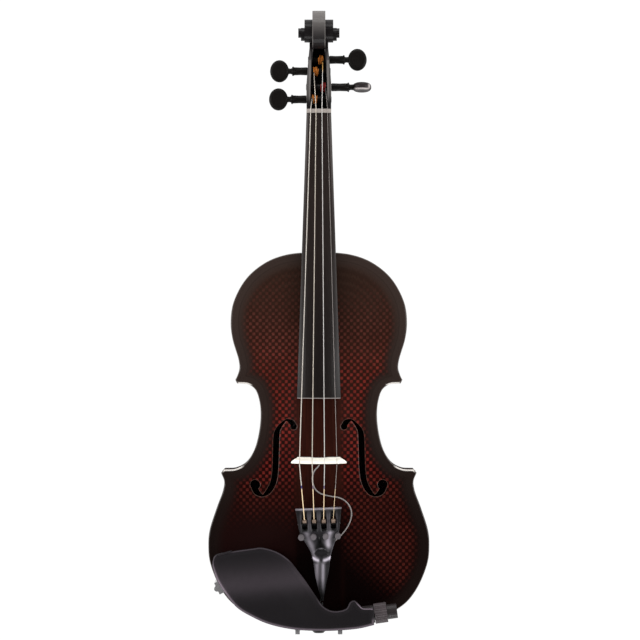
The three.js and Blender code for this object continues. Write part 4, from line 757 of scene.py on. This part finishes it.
def neck_material():
    """Black varnish, with painted highlights on the pegbox rims and on the scroll's ridge."""
    look = Look("neck_varnish")
    x, y, _ = look.place()
    side, facing_up = abs(x), look.axes("Normal")[2]
    # Painted highlights: the pegbox rims where they face up, the scroll's ridge and the beads beside it
    cheek = side.ramp(7, 8) * y.ramp(497, 508) * (y.ramp(562, 540) * facing_up.ramp(0.85, 0.97))
    groove = side.band(9.3, 10.1, 10.9, 11.7)
    ridge = y.ramp(556, 590) * side.ramp(6.1, 5.6)
    bead = side.band(5.4, 5.7, 6.2, 6.4) * (y.ramp(546, 552) * facing_up.ramp(0.3, 0.6))
    painted_highlight = larger(cheek * (1 - groove * 0.6) * 0.3, ridge * 0.37, bead * 0.3)
    colour = look.noise(150).mix((18, 14, 15), (28, 24, 25))
    return look.varnish(painted_highlight.mix(colour, (168, 162, 158)), 0.22, 0.5, 0.12, 0.15)


def cord_material():
    """Grey lead, painted black as shade along its end under the tailpiece and the chin rest."""
    look = Look("cord_grey")
    grey = look.noise(150).mix((124, 118, 116), (144, 138, 136))
    # Painted shade: black below y 69, where the lead runs under the tailpiece and the chin rest
    return look.set(colour=look.place()[1].ramp(70, 69).mix(grey, (14, 12, 12)), roughness=0.5)


def edge_on_peg_material():
    """Peg black with a painted highlight along the tail side and tip of a thumb seen edge on, over a faint painted
    sheen on the thumb.
    """
    look = Look("peg_painted_shine")
    x, y, z = look.place()
    peg_y, peg_z = PEGS["e"][1:3]
    x, y, z = x - EDGE_THUMB_X, y - peg_y, z - peg_z
    # Painted highlight along the tail side and at the tip of the thumb, over a faint painted sheen
    thumb = x.ramp(0, 2)
    low = y.band(-4.6, -3.6, -1.6, -0.4)
    tip_highlight = x.ramp(13, 15) * y.ramp(3.4, 2)
    shine = thumb * larger(low, tip_highlight) * z.ramp(4, 7) * (0.45 + look.noise(260) * 0.5)
    soft = thumb.mix((17, 13, 11), (40, 34, 34))
    return look.varnish(shine.mix(soft, (206, 196, 194)), 0.16, 0.5, 0.1)


def lever_material():
    """Blackened steel with a bright hook."""
    look = Look("lever_steel")
    _, y, z = look.place()
    hook = (y - LEVER_BRIGHT_Y).ramp(-0.4, 0.4) * (z - LEVER_BRIGHT_Z).ramp(-0.6, 0)
    return look.set(colour=hook.mix((10, 9, 10), (138, 118, 104)), metallic=hook * 0.4, roughness=0.4)


def string_material(name, metal, silk, band):
    """Metal with silk at both ends and a band of another colour where the tail's silk begins."""
    look = Look(name)
    _, y, z = look.place()
    past_silk = y - SILK_TOP_Y
    tail = past_silk.ramp(0.4, -0.4)
    ring = past_silk.band(0, 0.5, SILK_BAND - 0.5, SILK_BAND)
    head = (y - NUT_Y).ramp(38, 44) * z.ramp(40, 30)
    # The tail's silk is paled towards cream: partly its own colour, partly a painted highlight
    silk = (tail * 0.7).mix(silk, (246, 224, 192))
    cloth = larger(tail, head)
    look.bump(maths("SINE", y * STRING_TWIST), 0.3, COARSE_BUMP)
    return look.set(colour=ring.mix(cloth.mix(metal, silk), band), metallic=(1 - larger(cloth, ring)) * 0.55,
                    roughness=0.4)


BELLY = belly_material()
BACK = flamed_material("back_varnish", (20, 8, 6), (46, 20, 12))
RIBS = flamed_material("rib_varnish", (18, 7, 5), (44, 17, 11), (1, 0.4, 0.1))
NECK = neck_material()
EBONY = plain("ebony", (28, 24, 23), 0.4, grain=500)
BOARD = board_material()
PEG_BLACK = plain("peg_ebony", (17, 13, 11), 0.5, specular=0.16)
BONE = plain("bone", (150, 141, 135), 0.45)
MAPLE = plain("bridge_maple", (250, 246, 234), 0.65, variation=0.03)
COMPOSITE = plastic_with_painted_light("tailpiece_composite", (250, 240, 255), 0.42)
KNOB = plain("knob_black", (92, 87, 90), 0.4, variation=0.3, grain=1500)
CHIN = plastic_with_painted_light("chin_rest_black", (255, 230, 250), 0.6, 0.15)
STEEL = plain("steel", (196, 194, 196), 0.28, metallic=0.7, variation=0.04)
LEVER = lever_material()
PEG_PAINTED_SHINE = edge_on_peg_material()
JACK_BLACK = plain("jack_black", (40, 34, 35), 0.45, variation=0.3, grain=700)
JACK_KNURL = plain("jack_knurled", (64, 55, 58), 0.5, variation=0.35)
BRASS = plain("brass", (190, 150, 80), 0.3, metallic=1)
CORK = plain("cork", (64, 50, 38), 0.9, variation=0.3)
CORD = cord_material()
TAIL_CORD = plain("tail_cord_black", (12, 12, 13), 0.5)
SPRUCE = plain("bare_spruce", (120, 84, 50), 0.75, grain=300)
SILK_GOLD = plain("silk_gold", (206, 120, 36), 0.75, variation=0.25)
SILK_RED = plain("silk_red", (150, 26, 28), 0.75, variation=0.25)


# Camera and light
def make_camera():
    camera = new_object("camera", bpy.data.cameras.new("camera"))
    camera.location = point((CAMERA_X, CAMERA_Y, EDGE_HEIGHT + CAMERA_HEIGHT))
    camera.data.sensor_width = SENSOR
    camera.data.lens = SENSOR * CAMERA_HEIGHT / PHOTO_MM
    camera.data.clip_end = CLIP_END
    bpy.context.scene.camera = camera


def area_light(name, at, aim, size, watts):
    lamp = bpy.data.lights.new(name, "AREA")
    lamp.shape = "RECTANGLE"
    lamp.size, lamp.size_y = size
    lamp.energy = watts
    obj = new_object(name, lamp)
    obj.location = at
    obj.rotation_euler = (Vector(aim) - Vector(at)).to_track_quat("-Z", "Y").to_euler()


def seen_by(tree, ray):
    return add_node(tree, "LightPath", output=f"Is {ray} Ray")


def make_floor():
    mesh = bpy.data.meshes.new("floor")
    ends = -FLOOR_HALF, FLOOR_HALF
    mesh.from_pydata([(x, y, 0) for x in ends for y in ends], [], [(0, 2, 3, 1)])
    floor = new_object("floor", mesh)
    look = Look("floor")
    look.set(colour=(0.85, 0.85, 0.85, 1), roughness=0.9)
    glow = add_node(look.tree, "Emission", {"Strength": FLOOR_GLOW})
    seen = larger(*(seen_by(look.tree, ray) for ray in ("Camera", "Glossy", "Transmission")))
    mixed = add_node(look.tree, "MixShader", {0: seen * FLOOR_GLOW_SHARE, 1: Value(look.shader.outputs[0]), 2: glow})
    feed(mixed, look.tree.nodes["Material Output"].inputs[0])
    mesh.materials.append(look.material)


def make_world():
    world = bpy.data.worlds.new("world")
    bpy.context.scene.world = world
    world.use_nodes = True
    tree = world.node_tree
    back = tree.nodes["Background"]
    back.inputs["Color"].default_value = (1, 1, 1, 1)
    lit = WORLD_LIGHT - seen_by(tree, "Glossy") * (WORLD_LIGHT - WORLD_GLOSS)
    feed(larger(lit, seen_by(tree, "Camera")), back.inputs["Strength"])


make_camera()
make_world()
make_floor()
for name, softbox in SOFTBOXES.items():
    area_light(f"{name}_softbox", *softbox)


# Pickup lead, the one free cord
def make_lead():
    route = curve_through(LEAD_ROUTE, 260)
    lead = mesh_object("lead", *tube(route, LEAD_RADIUS), CORD, replaces=["pickup_lead"], slot="cord")
    path = [point(p) for p in route]
    length = sum(math.dist(a, b) for a, b in zip(path, path[1:]))
    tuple(path[0])


make_lead()


# Body
def arch_rise(at, loop_distance):
    """Height of a plate's outer face above its glued face."""
    spine = np.column_stack([np.zeros(len(at)), at[:, 1]])
    centre = np.maximum(edge_distance(spine, outline) - PLATFORM, 0.5)
    across = np.clip((loop_distance - PLATFORM) / centre, 0, 1)
    along = np.clip((np.minimum(at[:, 1], BODY_LENGTH - at[:, 1]) - PLATFORM) / (BODY_LENGTH / 2 - PLATFORM), 0, 1)
    return ARCH * (1 - (1 - along) ** 3) * (0.5 - 0.5 * np.cos(math.pi * across))


def plate_surfaces(loop, holes=()):
    """Outer and inner heights of a plate, with rounded edges and a shallow flute."""
    def outer(at):
        far = edge_distance(at, outline)
        flute = FLUTE_DEPTH * bell(far, FLUTE_AT, FLUTE_WIDTH)
        height = EDGE_THICK + arch_rise(at, far) - flute - rounding(at, [loop], OUTER_ROUND)
        return height - (rounding(at, holes, HOLE_ROUND) if holes else 0)

    def inner(at):
        far = edge_distance(at, outline)
        hollow = ease(PLATFORM + 2, PLATFORM + 9, far)
        return (EDGE_THICK + arch_rise(at, far) - PLATE_THICK) * hollow + rounding(at, [loop], INNER_ROUND)

    return outer, inner


def arc(x, y, radius, start, end, steps):
    turns = [math.radians(start + (end - start) * i / steps) for i in range(steps + 1)]
    return [(x + radius * math.cos(t), y + radius * math.sin(t)) for t in turns]


def sound_hole():
    return (curve_through(OUTER_EDGE, 90) + arc(*LOWER_EYE, -50, 222, 26)
            + curve_through(INNER_EDGE, 90) + arc(*UPPER_EYE, 168, 405, 20))


def store(obj, name, values, extra=0):
    """One number for each vertex of a slab, the same on both faces, and their median for any further ones."""
    made = obj.data.attributes.new(name, "FLOAT", "POINT")
    further = np.full(extra, np.median(values))
    made.data.foreach_set("value", np.concatenate([values, values, further]).astype(np.float32))


def open_outline(half):
    """The outline without its top between -half and half, from the right of that gap round to its left."""
    return [(x, y) for x, y in outline if abs(x) > half or y <= BODY_LENGTH - TOP_ZONE]


def make_belly():
    hole = sound_hole()
    holes = [hole, mirrored(hole)]
    notch = [(-HEEL_HALF, BODY_LENGTH - HEEL_NOTCH), (HEEL_HALF, BODY_LENGTH - HEEL_NOTCH)]
    loop = open_outline(HEEL_HALF)
    top_y = loop[0][1]
    loop = spaced([*loop, (-HEEL_HALF, top_y), *notch, (HEEL_HALF, top_y)], OUTLINE_GAP)
    outer, inner = plate_surfaces(loop, holes)
    verts, faces, flat = slab(loop, holes, outer, inner, RINGS, BELLY_GRID, HOLE_RINGS)
    belly = mesh_object("belly", verts, faces, BELLY, replaces=["top_plate"], slot="varnish", angle=50)
    store(belly, "edge", edge_distance(flat, outline))
    store(belly, "hole", np.min([edge_distance(flat, one) for one in holes], 0))


def make_back():
    button = arc(0, BODY_LENGTH - 2, BUTTON_RADIUS, 0, 180, 24)
    loop = spaced([*open_outline(BUTTON_RADIUS), *reversed(button)], OUTLINE_GAP)
    outer, inner = plate_surfaces(loop)
    verts, faces, _ = slab(loop, [], lambda at: -RIB_HEIGHT - inner(at), lambda at: -RIB_HEIGHT - outer(at),
                           RINGS, BACK_GRID)
    mesh_object("back", verts, faces, BACK, replaces=["back_plate"], slot="dark_varnish", angle=50)


def make_ribs():
    """Each rib is a bent strip between two corners, as thin as the CAD one."""
    outer_loop = np.array(outline) - normals(outline) * OVERHANG
    outer_loop = outer_loop[edge_distance(outer_loop, outline) > OVERHANG - 0.03]
    upper, lower = UPPER_CORNER_Y + 0.4, LOWER_CORNER_Y - 0.8
    for name, least_y, most_y, way, least_x in [
            ("upper_left", upper, BODY_LENGTH, -1, HEEL_RIB_HALF),
            ("upper_right", upper, BODY_LENGTH, 1, HEEL_RIB_HALF),
            ("waist_left", lower, upper, -1, 0), ("waist_right", lower, upper, 1, 0), ("lower", 0, lower, 0, -1)]:
        strip = np.array([(x, y) for x, y in outer_loop if least_y < y < most_y and x * way > least_x])
        along = np.gradient(strip, axis=0)
        along /= np.linalg.norm(along, axis=1)[:, None]
        within = strip + np.stack([along[:, 1], -along[:, 0]], 1) * RIB_THICK
        top, low = -RIB_ROOM, -RIB_HEIGHT + RIB_ROOM
        rings = [[(x0, y0, top), (x0, y0, low), (x1, y1, low), (x1, y1, top)]
                 for (x0, y0), (x1, y1) in zip(strip, within)]
        mesh_object(f"side_{name}", *loft(rings), RIBS, replaces=[f"rib_{name}"], slot="dark_varnish")


make_belly()
make_back()
make_ribs()


# Tailpiece frame
tail_turn = Matrix.Rotation(TAIL_LEAN, 4, "Z") @ Matrix.Rotation(TAIL_PITCH, 4, "X")


def on_tailpiece(x, y, z):
    return tuple(tail_turn @ Vector((x, y, z)) + Vector(TAIL_AT))


def channel_x(channel):
    return (channel - 1.5) * CHANNEL_PITCH


# Strings
def sagitta(radius, half):
    return radius - math.sqrt(radius * radius - half * half)


def nut_top(x):
    return BOARD_TOP_AT_NUT + NUT_RISE - sagitta(BOARD_RADIUS, x)


def crown_top(x):
    return CROWN_Z - sagitta(CROWN_RADIUS, x)


def tangent(peg_y, peg_z, start):
    """y and z where a string from start meets its winding."""
    dy, dz = start[1] - peg_y, start[2] - peg_z
    angle = math.atan2(dz, dy) - math.acos(WINDING_RADIUS / math.hypot(dy, dz))
    return peg_y + WINDING_RADIUS * math.cos(angle), peg_z + WINDING_RADIUS * math.sin(angle)


def make_strings():
    for name, (nut_x, bridge_x, channel, radius) in STRINGS.items():
        _, peg_y, peg_z, _, silk_x = PEGS[name]
        leave = (nut_x, NUT_Y + NUT_DEPTH, nut_top(nut_x) + radius + STRING_GAP)
        start = Vector((silk_x, *tangent(peg_y, peg_z, leave)))
        start += (Vector(leave) - start).normalized() * STRING_START
        over = crown_top(bridge_x) + radius + STRING_GAP / 2
        end = on_tailpiece(channel_x(channel), HOOK_Y + HOOK_RADIUS + 0.3 + radius, HOOK_RISE + radius)
        route = [tuple(start), leave, (nut_x, NUT_Y, leave[2]), (bridge_x, BRIDGE_TAIL_Y + BRIDGE_CROWN_DEPTH, over),
                 (bridge_x, BRIDGE_TAIL_Y, over), end]
        material = string_material(f"string_{name}_metal", *STRING_COLOURS[name])
        mesh_object(f"wire_{name}", *tube(route, radius), material, replaces=[f"string_{name}"], slot="wound")


make_strings()


# Fingerboard
def board_top(y):
    return BOARD_TOP_AT_NUT + (NUT_Y - y) * (BOARD_TOP_AT_BODY - BOARD_TOP_AT_NUT) / (NUT_Y - BODY_LENGTH)


def seat_at(y):
    return board_top(y) - BOARD_EDGE - sagitta(BOARD_RADIUS, board_half(y))


def board_seat(y):
    share = (NUT_Y - y) / (NUT_Y - BOARD_END_Y)
    return seat_at(NUT_Y) + (seat_at(BOARD_END_Y) - seat_at(NUT_Y)) * share


def board_section(y, inset):
    half, top = board_half(y) - inset, board_top(y) - inset
    edge, seat = top - sagitta(BOARD_RADIUS, half), board_seat(y)
    side = [(half, edge - BOARD_ROUND), (half - 0.1 * BOARD_ROUND, edge - 0.4 * BOARD_ROUND),
            (half - 0.35 * BOARD_ROUND, edge - 0.12 * BOARD_ROUND)]
    arc_half = half - BOARD_ROUND
    over = [(arc_half * k / 12, top - sagitta(BOARD_RADIUS, arc_half * k / 12)) for k in range(12, -13, -1)]
    loop = [(half, seat), *side, *over, *mirrored(side), (-half, seat)]
    return [(x, y, z) for x, z in loop]


def make_fingerboard():
    rings = [board_section(BOARD_END_Y + y, inset) for y, inset in BOARD_INSETS]
    rings.append(board_section(NUT_Y - 0.3, 0))
    mesh_object("board", *loft(rings), BOARD, replaces=["fingerboard"], slot="ebony", angle=50)


make_fingerboard()


# Bridge, cut out in X and Z and as deep as its wedge
def make_bridge():
    low = EDGE_THICK + ARCH
    right = shaped(BRIDGE_SHARES, BRIDGE_HALF, low, CROWN_Z, 60)
    arch = shaped(BRIDGE_ARCH_SHARES, BRIDGE_HALF, low, CROWN_Z, 20)
    crown_half = right[-1][0]
    crown = [(x, crown_top(x)) for x in (crown_half * (1 - k / 14) for k in range(1, 14))]
    feet_x = np.linspace(0.3 * BRIDGE_HALF, 0.8 * BRIDGE_HALF, 9)
    at = np.column_stack([feet_x, np.full(9, BRIDGE_TAIL_Y + 2)])
    feet = list(zip(feet_x, EDGE_THICK + arch_rise(at, edge_distance(at, outline)) + 0.35))
    half = [*reversed(arch), *feet, *right, *crown]
    loop = spaced([*half, (0, crown_top(0)), *mirrored(half)[:-1]], BRIDGE_GAP)
    heart = [(BRIDGE_HALF * 0.13 * math.sin(t) ** 3,
              low + BRIDGE_HEIGHT * (0.6 + 0.0085 * (13 * math.cos(t) - 5 * math.cos(2 * t) - 2 * math.cos(3 * t))))
             for t in full_turn(28)]
    kidney = [(BRIDGE_HALF * (0.5 + 0.17 * math.cos(t)),
               low + BRIDGE_HEIGHT * (0.52 + 0.06 * math.sin(t) - 0.05 * math.cos(t) ** 2))
              for t in full_turn(24)]
    holes = [heart, kidney, mirrored(kidney)]
    taper = BRIDGE_FOOT_DEPTH - BRIDGE_CROWN_DEPTH
    tail_y = BRIDGE_TAIL_Y + BRIDGE_SHIFT

    def rim(at):
        return rounding(at, [loop, *holes], BRIDGE_ROUND) + 0.02

    def front(at):
        up = (at[:, 1] - low) / BRIDGE_HEIGHT
        wedge = BRIDGE_FOOT_DEPTH - taper * np.clip(up, 0, 1) ** 2.5
        side = BRIDGE_CROWN_DEPTH + (BRIDGE_HALF - np.abs(at[:, 0])) * taper / WING_CHAMFER
        return tail_y + np.minimum(wedge, np.where(up > 0.3, side, wedge)) - rim(at)

    def tail(at):
        return tail_y + rim(at)

    rings = (0.15, BRIDGE_ROUND)
    verts, faces, _ = slab(loop, holes, front, tail, rings, BRIDGE_GRID, rings)
    verts = [(x, y, z) for x, z, y in verts]
    mesh_object("bridge_carved", verts, faces, MAPLE, replaces=["bridge"], slot="bridge_maple", angle=45)


make_bridge()


# Tailpiece, a flared plate with slots, knob seats and a hollow
def make_tailpiece():
    half = shaped(TAIL_SHARES, TAIL_HALF, 0, -TAIL_LENGTH, 90)[::-1]
    top = [(TAIL_HALF * (1 - k / 12), 0) for k in range(1, 12)]
    loop = spaced([*half, *top, (0, 0), *mirrored(top), *mirrored(half)], TAIL_GAP)
    middles = [channel_x(channel) for channel in range(4)]
    w, low = CHANNEL_HALF - 0.3, -SLOT_END + 0.3
    slots = [
        spaced([(x - w, low), (x + w, low), (x + w, -SLOT_START), (x - w, -SLOT_START)], SLOT_GAP)
        for x in middles]

    def valley(x, y):
        """Sunk V between the two middle knobs, down to the hollow."""
        width = 1.2 + 3.2 * ease(-30, -39, y)
        return bell(x, -0.4, width) * ease(-26, -31, y) * ease(-42.5, -39, y)

    def from_hollow(x, y, tall=HOLLOW_TALL):
        """Distance from the hollow's middle, with 1 on its rim."""
        return np.hypot(x / HOLLOW_HALF, (y - HOLLOW_Y) / tall)

    def hollow(x, y):
        return 1 - ease(0.86, 1.04, from_hollow(x, y))

    def tail_end(y):
        return ease(HOLLOW_Y - HOLLOW_TALL - 3, HOLLOW_Y - HOLLOW_TALL - 8, y)

    def channels(x, y):
        across = np.max([ease(3.1, 2.3, np.abs(x - middle)) for middle in middles], 0)
        return across * ease(-1.2, -2.6, y) * ease(-SLOT_END - 2.6, -SLOT_END - 1.4, y)

    def outer(at):
        x, y = at.T
        far = edge_distance(at, loop)
        fall = 2.2 * (1 - ease(0, 4.4, far)) * ease(-27, -34, y)
        scoop = 1.8 * valley(x, y) + 1.7 * hollow(x, y) + 1.4 * tail_end(y)
        groove = (0.8 * bell(x, -1.9, 1.3) - 0.7 * bell(x, 1.1, 1.5)) * tail_end(y)
        edges = rounding(at, [loop], 1.1) + rounding(at, slots, 0.35) + 0.02
        return -1.1 * channels(x, y) - fall - scoop - groove - edges

    # Painted light and shade for the moulded plastic, as greys stored on the mesh
    def grey(at):
        x, y = at.T
        far = edge_distance(at, loop)
        side, right = np.abs(x), ease(-0.4, 0.4, x)

        # Painted highlights on the rails between the slots and along the front edge; darker towards the flared sides
        # and down the middle, with painted shade in the channels
        rails = np.max([bell(np.abs(x - middle), 3.5, 0.5) for middle in middles], 0)
        made = 52 + 8 * ease(-4, -9, y) + 26 * rails * ease(-3, -6, y) * ease(-22, -19, y)
        made -= 32 * ease(13.5, 21, side) + 22 * bell(x, 0, 2.6) * ease(-10, -13, y)
        made += (10 - made) * channels(x, y)
        made += 100 * ease(-1.3, -0.4, y)

        # Painted highlights on the flanks' crests and the right-hand rim, then painted shade in the valley between
        # them
        crest = np.interp(-y, [22, 32, 44], [12.3, 9.4, 6]) * (1 - right) \
            + np.interp(-y, [22, 32, 39], [10.3, 7.4, 7]) * right
        peak = 84 * ease(-50, -44, y) * (1 - right) + 134 * ease(-42.5, -35, y) * right
        flank = 34 + peak * bell(side, crest, 3.2) + 34 * ease(1.4, 0.4, far) * right
        made += (flank - made) * ease(-20, -24, y)
        made *= 1 - np.clip(valley(x, y) * 1.6, 0, 1)

        # Painted highlights on the hollow's brim, on the cup below it and along the shaft's ridges; the hollow
        # darker, and the shaft's end darkened as painted shade
        ahead = y - HOLLOW_Y
        made += 95 * bell(from_hollow(x, y), 1.16, 0.1) * ease(1, 3.5, ahead) * ease(5.2, 3.6, side)
        made += (30 - made) * hollow(x, y)
        cup = bell(from_hollow(x, y + 1, HOLLOW_TALL * 1.1), 1.42, 0.42)
        made += 160 * cup * ease(-1.8, -4.8, ahead) * ease(0.6, 2.8, np.abs(x + 0.5))
        shaft = 50 + 82 * bell(x, -4.6, 2.2) + 96 * bell(x, 1.1, 1.7) - 18 * ease(2.5, 4.5, x)
        made += (shaft * (1 - 0.45 * ease(-66, -80, y)) - made) * tail_end(y)
        return made * (1 - 0.85 * ease(-76, -86, y))

    def inner(at):
        return rounding(at, [loop], 1.6) - TAIL_THICK + 0.3

    verts, faces, flat = slab(loop, slots, outer, inner, TAIL_RINGS, TAIL_GRID, SLOT_RINGS)
    drift = TAIL_DRIFT * ease(-27, -43, verts[:, 1]) - TAIL_RETURN * ease(-50, -78, verts[:, 1])
    verts = [on_tailpiece(x + aside, y, z) for (x, y, z), aside in zip(verts, drift)]
    tailpiece = mesh_object("tailpiece_moulded", verts, faces, COMPOSITE, replaces=["tailpiece"],
                            slot="composite", angle=50)
    store(tailpiece, "tone", light(grey(flat)))


make_tailpiece()


# Chin rest: a dished plate with a raised lip, on two feet
def make_chin_rest():
    def curve(shares, rise, steps):
        return curve_through([(CHIN_LEFT + x * CHIN_LENGTH, CHIN_BOTTOM + y * CHIN_DEPTH + rise(x))
                              for x, y in shares], steps)

    upper = curve(CHIN_UPPER_SHARES, lambda x: CHIN_LIFT * ease(0.6, 0.78, x) * ease(0.985, 0.93, x), 190)
    lower = curve(CHIN_LOWER_SHARES, lambda x: -CHIN_DROP * ease(0.05, 0.2, x), 120)
    loop = spaced([*lower, *reversed(upper)], CHIN_GAP)

    def dish(at):
        """Height of the dished plate."""
        share = (at[:, 0] - CHIN_LEFT) / CHIN_LENGTH
        level = CHIN_HIGH_LEFT + (CHIN_HIGH_RIGHT - CHIN_HIGH_LEFT) * ease(0.35, 0.75, share)
        return level - CHIN_DISH * (1 - ease(0.45, 0.72, share)) * ease(2.5, 30, edge_distance(at, loop))

    def outer(at):
        lip = 0.5 * ease(3.4, 5.2, edge_distance(at, loop))
        return dish(at) - lip - rounding(at, [loop], 1.6) - 0.05

    def inner(at):
        return dish(at) - CHIN_THICK + 0.05 + rounding(at, [loop], 1.5)

    # Painted light for the chin rest: a painted highlight band across the dish, painted highlight lines along the
    # upper lip and the lower rim, and a faint painted highlight line inside the rim
    def grey(at):
        far = edge_distance(at, loop)
        x, y = at.T
        line = CHIN_HIGHLIGHT_Y + CHIN_HIGHLIGHT_SLOPE * (x - CHIN_LEFT)
        made = 22 + 28 * bell(y, line, np.where(y > line, 19, 12))
        flank = ease(-50, -44, x) * ease(66, 58, y) * ease(22, 30, y)
        lip = (46 - 42 * flank + 60 * ease(34, 38, x)) * ease(51.6, 50.6, x)
        above = y - np.interp(x, [p[0] for p in lower], [p[1] for p in lower])
        under = ease(8, 4, above)
        made += lip * bell(far, 0.7, 0.4) * (1 - under) + 80 * bell(far, 1.1, 0.8) * under
        made += 4 * bell(far, 2.6, 1.2)
        return made

    *plate, flat = slab(loop, [], outer, inner, CHIN_RINGS, CHIN_GRID)
    feet = []
    for x0, x1 in ((-FOOT_OUTER, -FOOT_INNER), (FOOT_INNER, FOOT_OUTER)):
        high = inner(np.array([[(x0 + x1) / 2, FOOT_HIGH_Y]]))[0] + 1
        feet.append(loft([[(x0, FOOT_LOW_Y, z), (x1, FOOT_LOW_Y, z), (x1, FOOT_HIGH_Y, z), (x0, FOOT_HIGH_Y, z)]
                          for z in (CORK_TOP + 0.25, high)]))
    bar = tube([(x, y, CHIN_HIGH_LEFT - 0.3) for x, y in CHIN_BAR], 1)
    verts, faces = joined([plate, *feet, bar])
    rest = mesh_object("chin_rest_moulded", verts, faces, CHIN, replaces=["chin_rest"], slot="chin_black",
                       angle=50)
    store(rest, "tone", light(grey(flat)), len(verts) - 2 * len(flat))


make_chin_rest()


# Pegs, each turned on its own axis and riding its joint
def make_peg(name):
    side, y, z, roll, _ = PEGS[name]
    out = E_PEG_OUT if name == "e" else 0
    cheek = float(np.interp(y, *zip(*PEGBOX_SIDES))) + 0.3
    ring = cheek + PEG_COLLAR_LENGTH + out
    neck = ring + PEG_RING_WIDTH
    thumb = neck + PEG_NECK_LENGTH
    profile = [(0, -cheek), (PEG_TIP - 0.3, -cheek), (PEG_TIP, -cheek + 0.3), (PEG_SHAFT, cheek),
               (PEG_COLLAR - 0.3, cheek), (PEG_COLLAR, cheek + 0.3), (PEG_COLLAR - 0.25, (cheek + ring) / 2),
               (PEG_COLLAR, ring - 0.3), (PEG_RING - 0.4, ring), (PEG_RING, ring + 0.4),
               (PEG_RING, neck - 0.4), (PEG_RING - 0.4, neck), (PEG_NECK + 0.3, neck + 0.3),
               (PEG_NECK - 0.2, neck + 1.6), (PEG_NECK + 0.1, thumb + 0.5),
               (PEG_NECK - 0.6, thumb + 2), (0, thumb + 2)]
    shaft = turned([(r, a * side) for r, a in profile])
    rings = []
    for k in range(THUMB_RINGS):
        t = math.pi * k / (THUMB_RINGS - 1)
        wide = math.sin(t) ** 0.45
        thick = math.copysign(abs(math.cos(t)) ** 0.75, math.cos(t)) * THUMB_THICK / 2
        hollow = 1 - 0.3 * max(0.0, 1 - (wide / 0.75) ** 2)
        rings.append([(side * (thumb + THUMB_WIDTH / 2 + wide * THUMB_WIDTH / 2 * math.cos(a)),
                       wide * THUMB_HEIGHT / 2 * math.sin(a), thick * hollow)
                      for a in full_turn(THUMB_SIDES)])
    verts, faces = joined([shaft, loft(rings)])
    turn = Matrix.Rotation(roll, 4, "X")
    verts = [tuple(turn @ Vector(v) + Vector((0, y, z))) for v in verts]
    mesh_object(f"peg_{name}_turned", verts, faces, PEG_PAINTED_SHINE if name == "e" else PEG_BLACK,
                body=f"peg_{name}_turning", replaces=[f"peg_{name}"], slot="ebony", angle=45)


for name in PEGS:
    make_peg(name)


# CAD nodes shown as they are, with softened edges
def soften(node, material, width, angle=35):
    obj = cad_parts[node]
    obj.data.materials.clear()
    obj.data.materials.append(material)
    if width:
        bevel = obj.modifiers.new("soft_edges", "BEVEL")
        bevel.width = width * MM
        bevel.segments = 2
        bevel.limit_method = "ANGLE"
        bevel.angle_limit = math.radians(angle)
    obj.data.shade_smooth()
    obj.data.set_sharp_from_angle(angle=math.radians(angle))


for material, width, nodes in [
        (NECK, 0.3, "neck"), (BONE, 0.3, "nut"), (EBONY, 0.3, "saddle"), (EBONY, 0.2, "end_button"),
        (CORK, 0.3, "chin_rest_cork"), (TAIL_CORD, 0, "tail_cord"), (BRASS, 0.15, "pickup_element"),
        (BRASS, 0, "jack_contact"), (JACK_BLACK, 0.3, "jack_bracket jack_socket"), (JACK_KNURL, 0.1, "jack_nut"),
        (STEEL, 0, "tuner_axle"), (STEEL, 0.3, "clamp_foot side_clamp"),
        (STEEL, 0.2, "clamp_hook_left clamp_hook_right"), (STEEL, 0.15, "clamp_barrel_left clamp_barrel_right"),
        (SPRUCE, 0, "lining_top lining_back neck_block tail_block bass_bar sound_post corner_block_upper_left "
                    "corner_block_upper_right corner_block_lower_left corner_block_lower_right")]:
    for node in nodes.split():
        soften(node, material, width)
for name in STRINGS:
    soften(f"winding_{name}", SILK_RED if name == "e" else SILK_GOLD, 0, 60)
    soften(f"tuner_lever_{name}", LEVER, 0.15)
    soften(f"tuner_screw_{name}", KNOB, 0.2)

bpy.context.scene.view_settings.view_transform = "Standard"
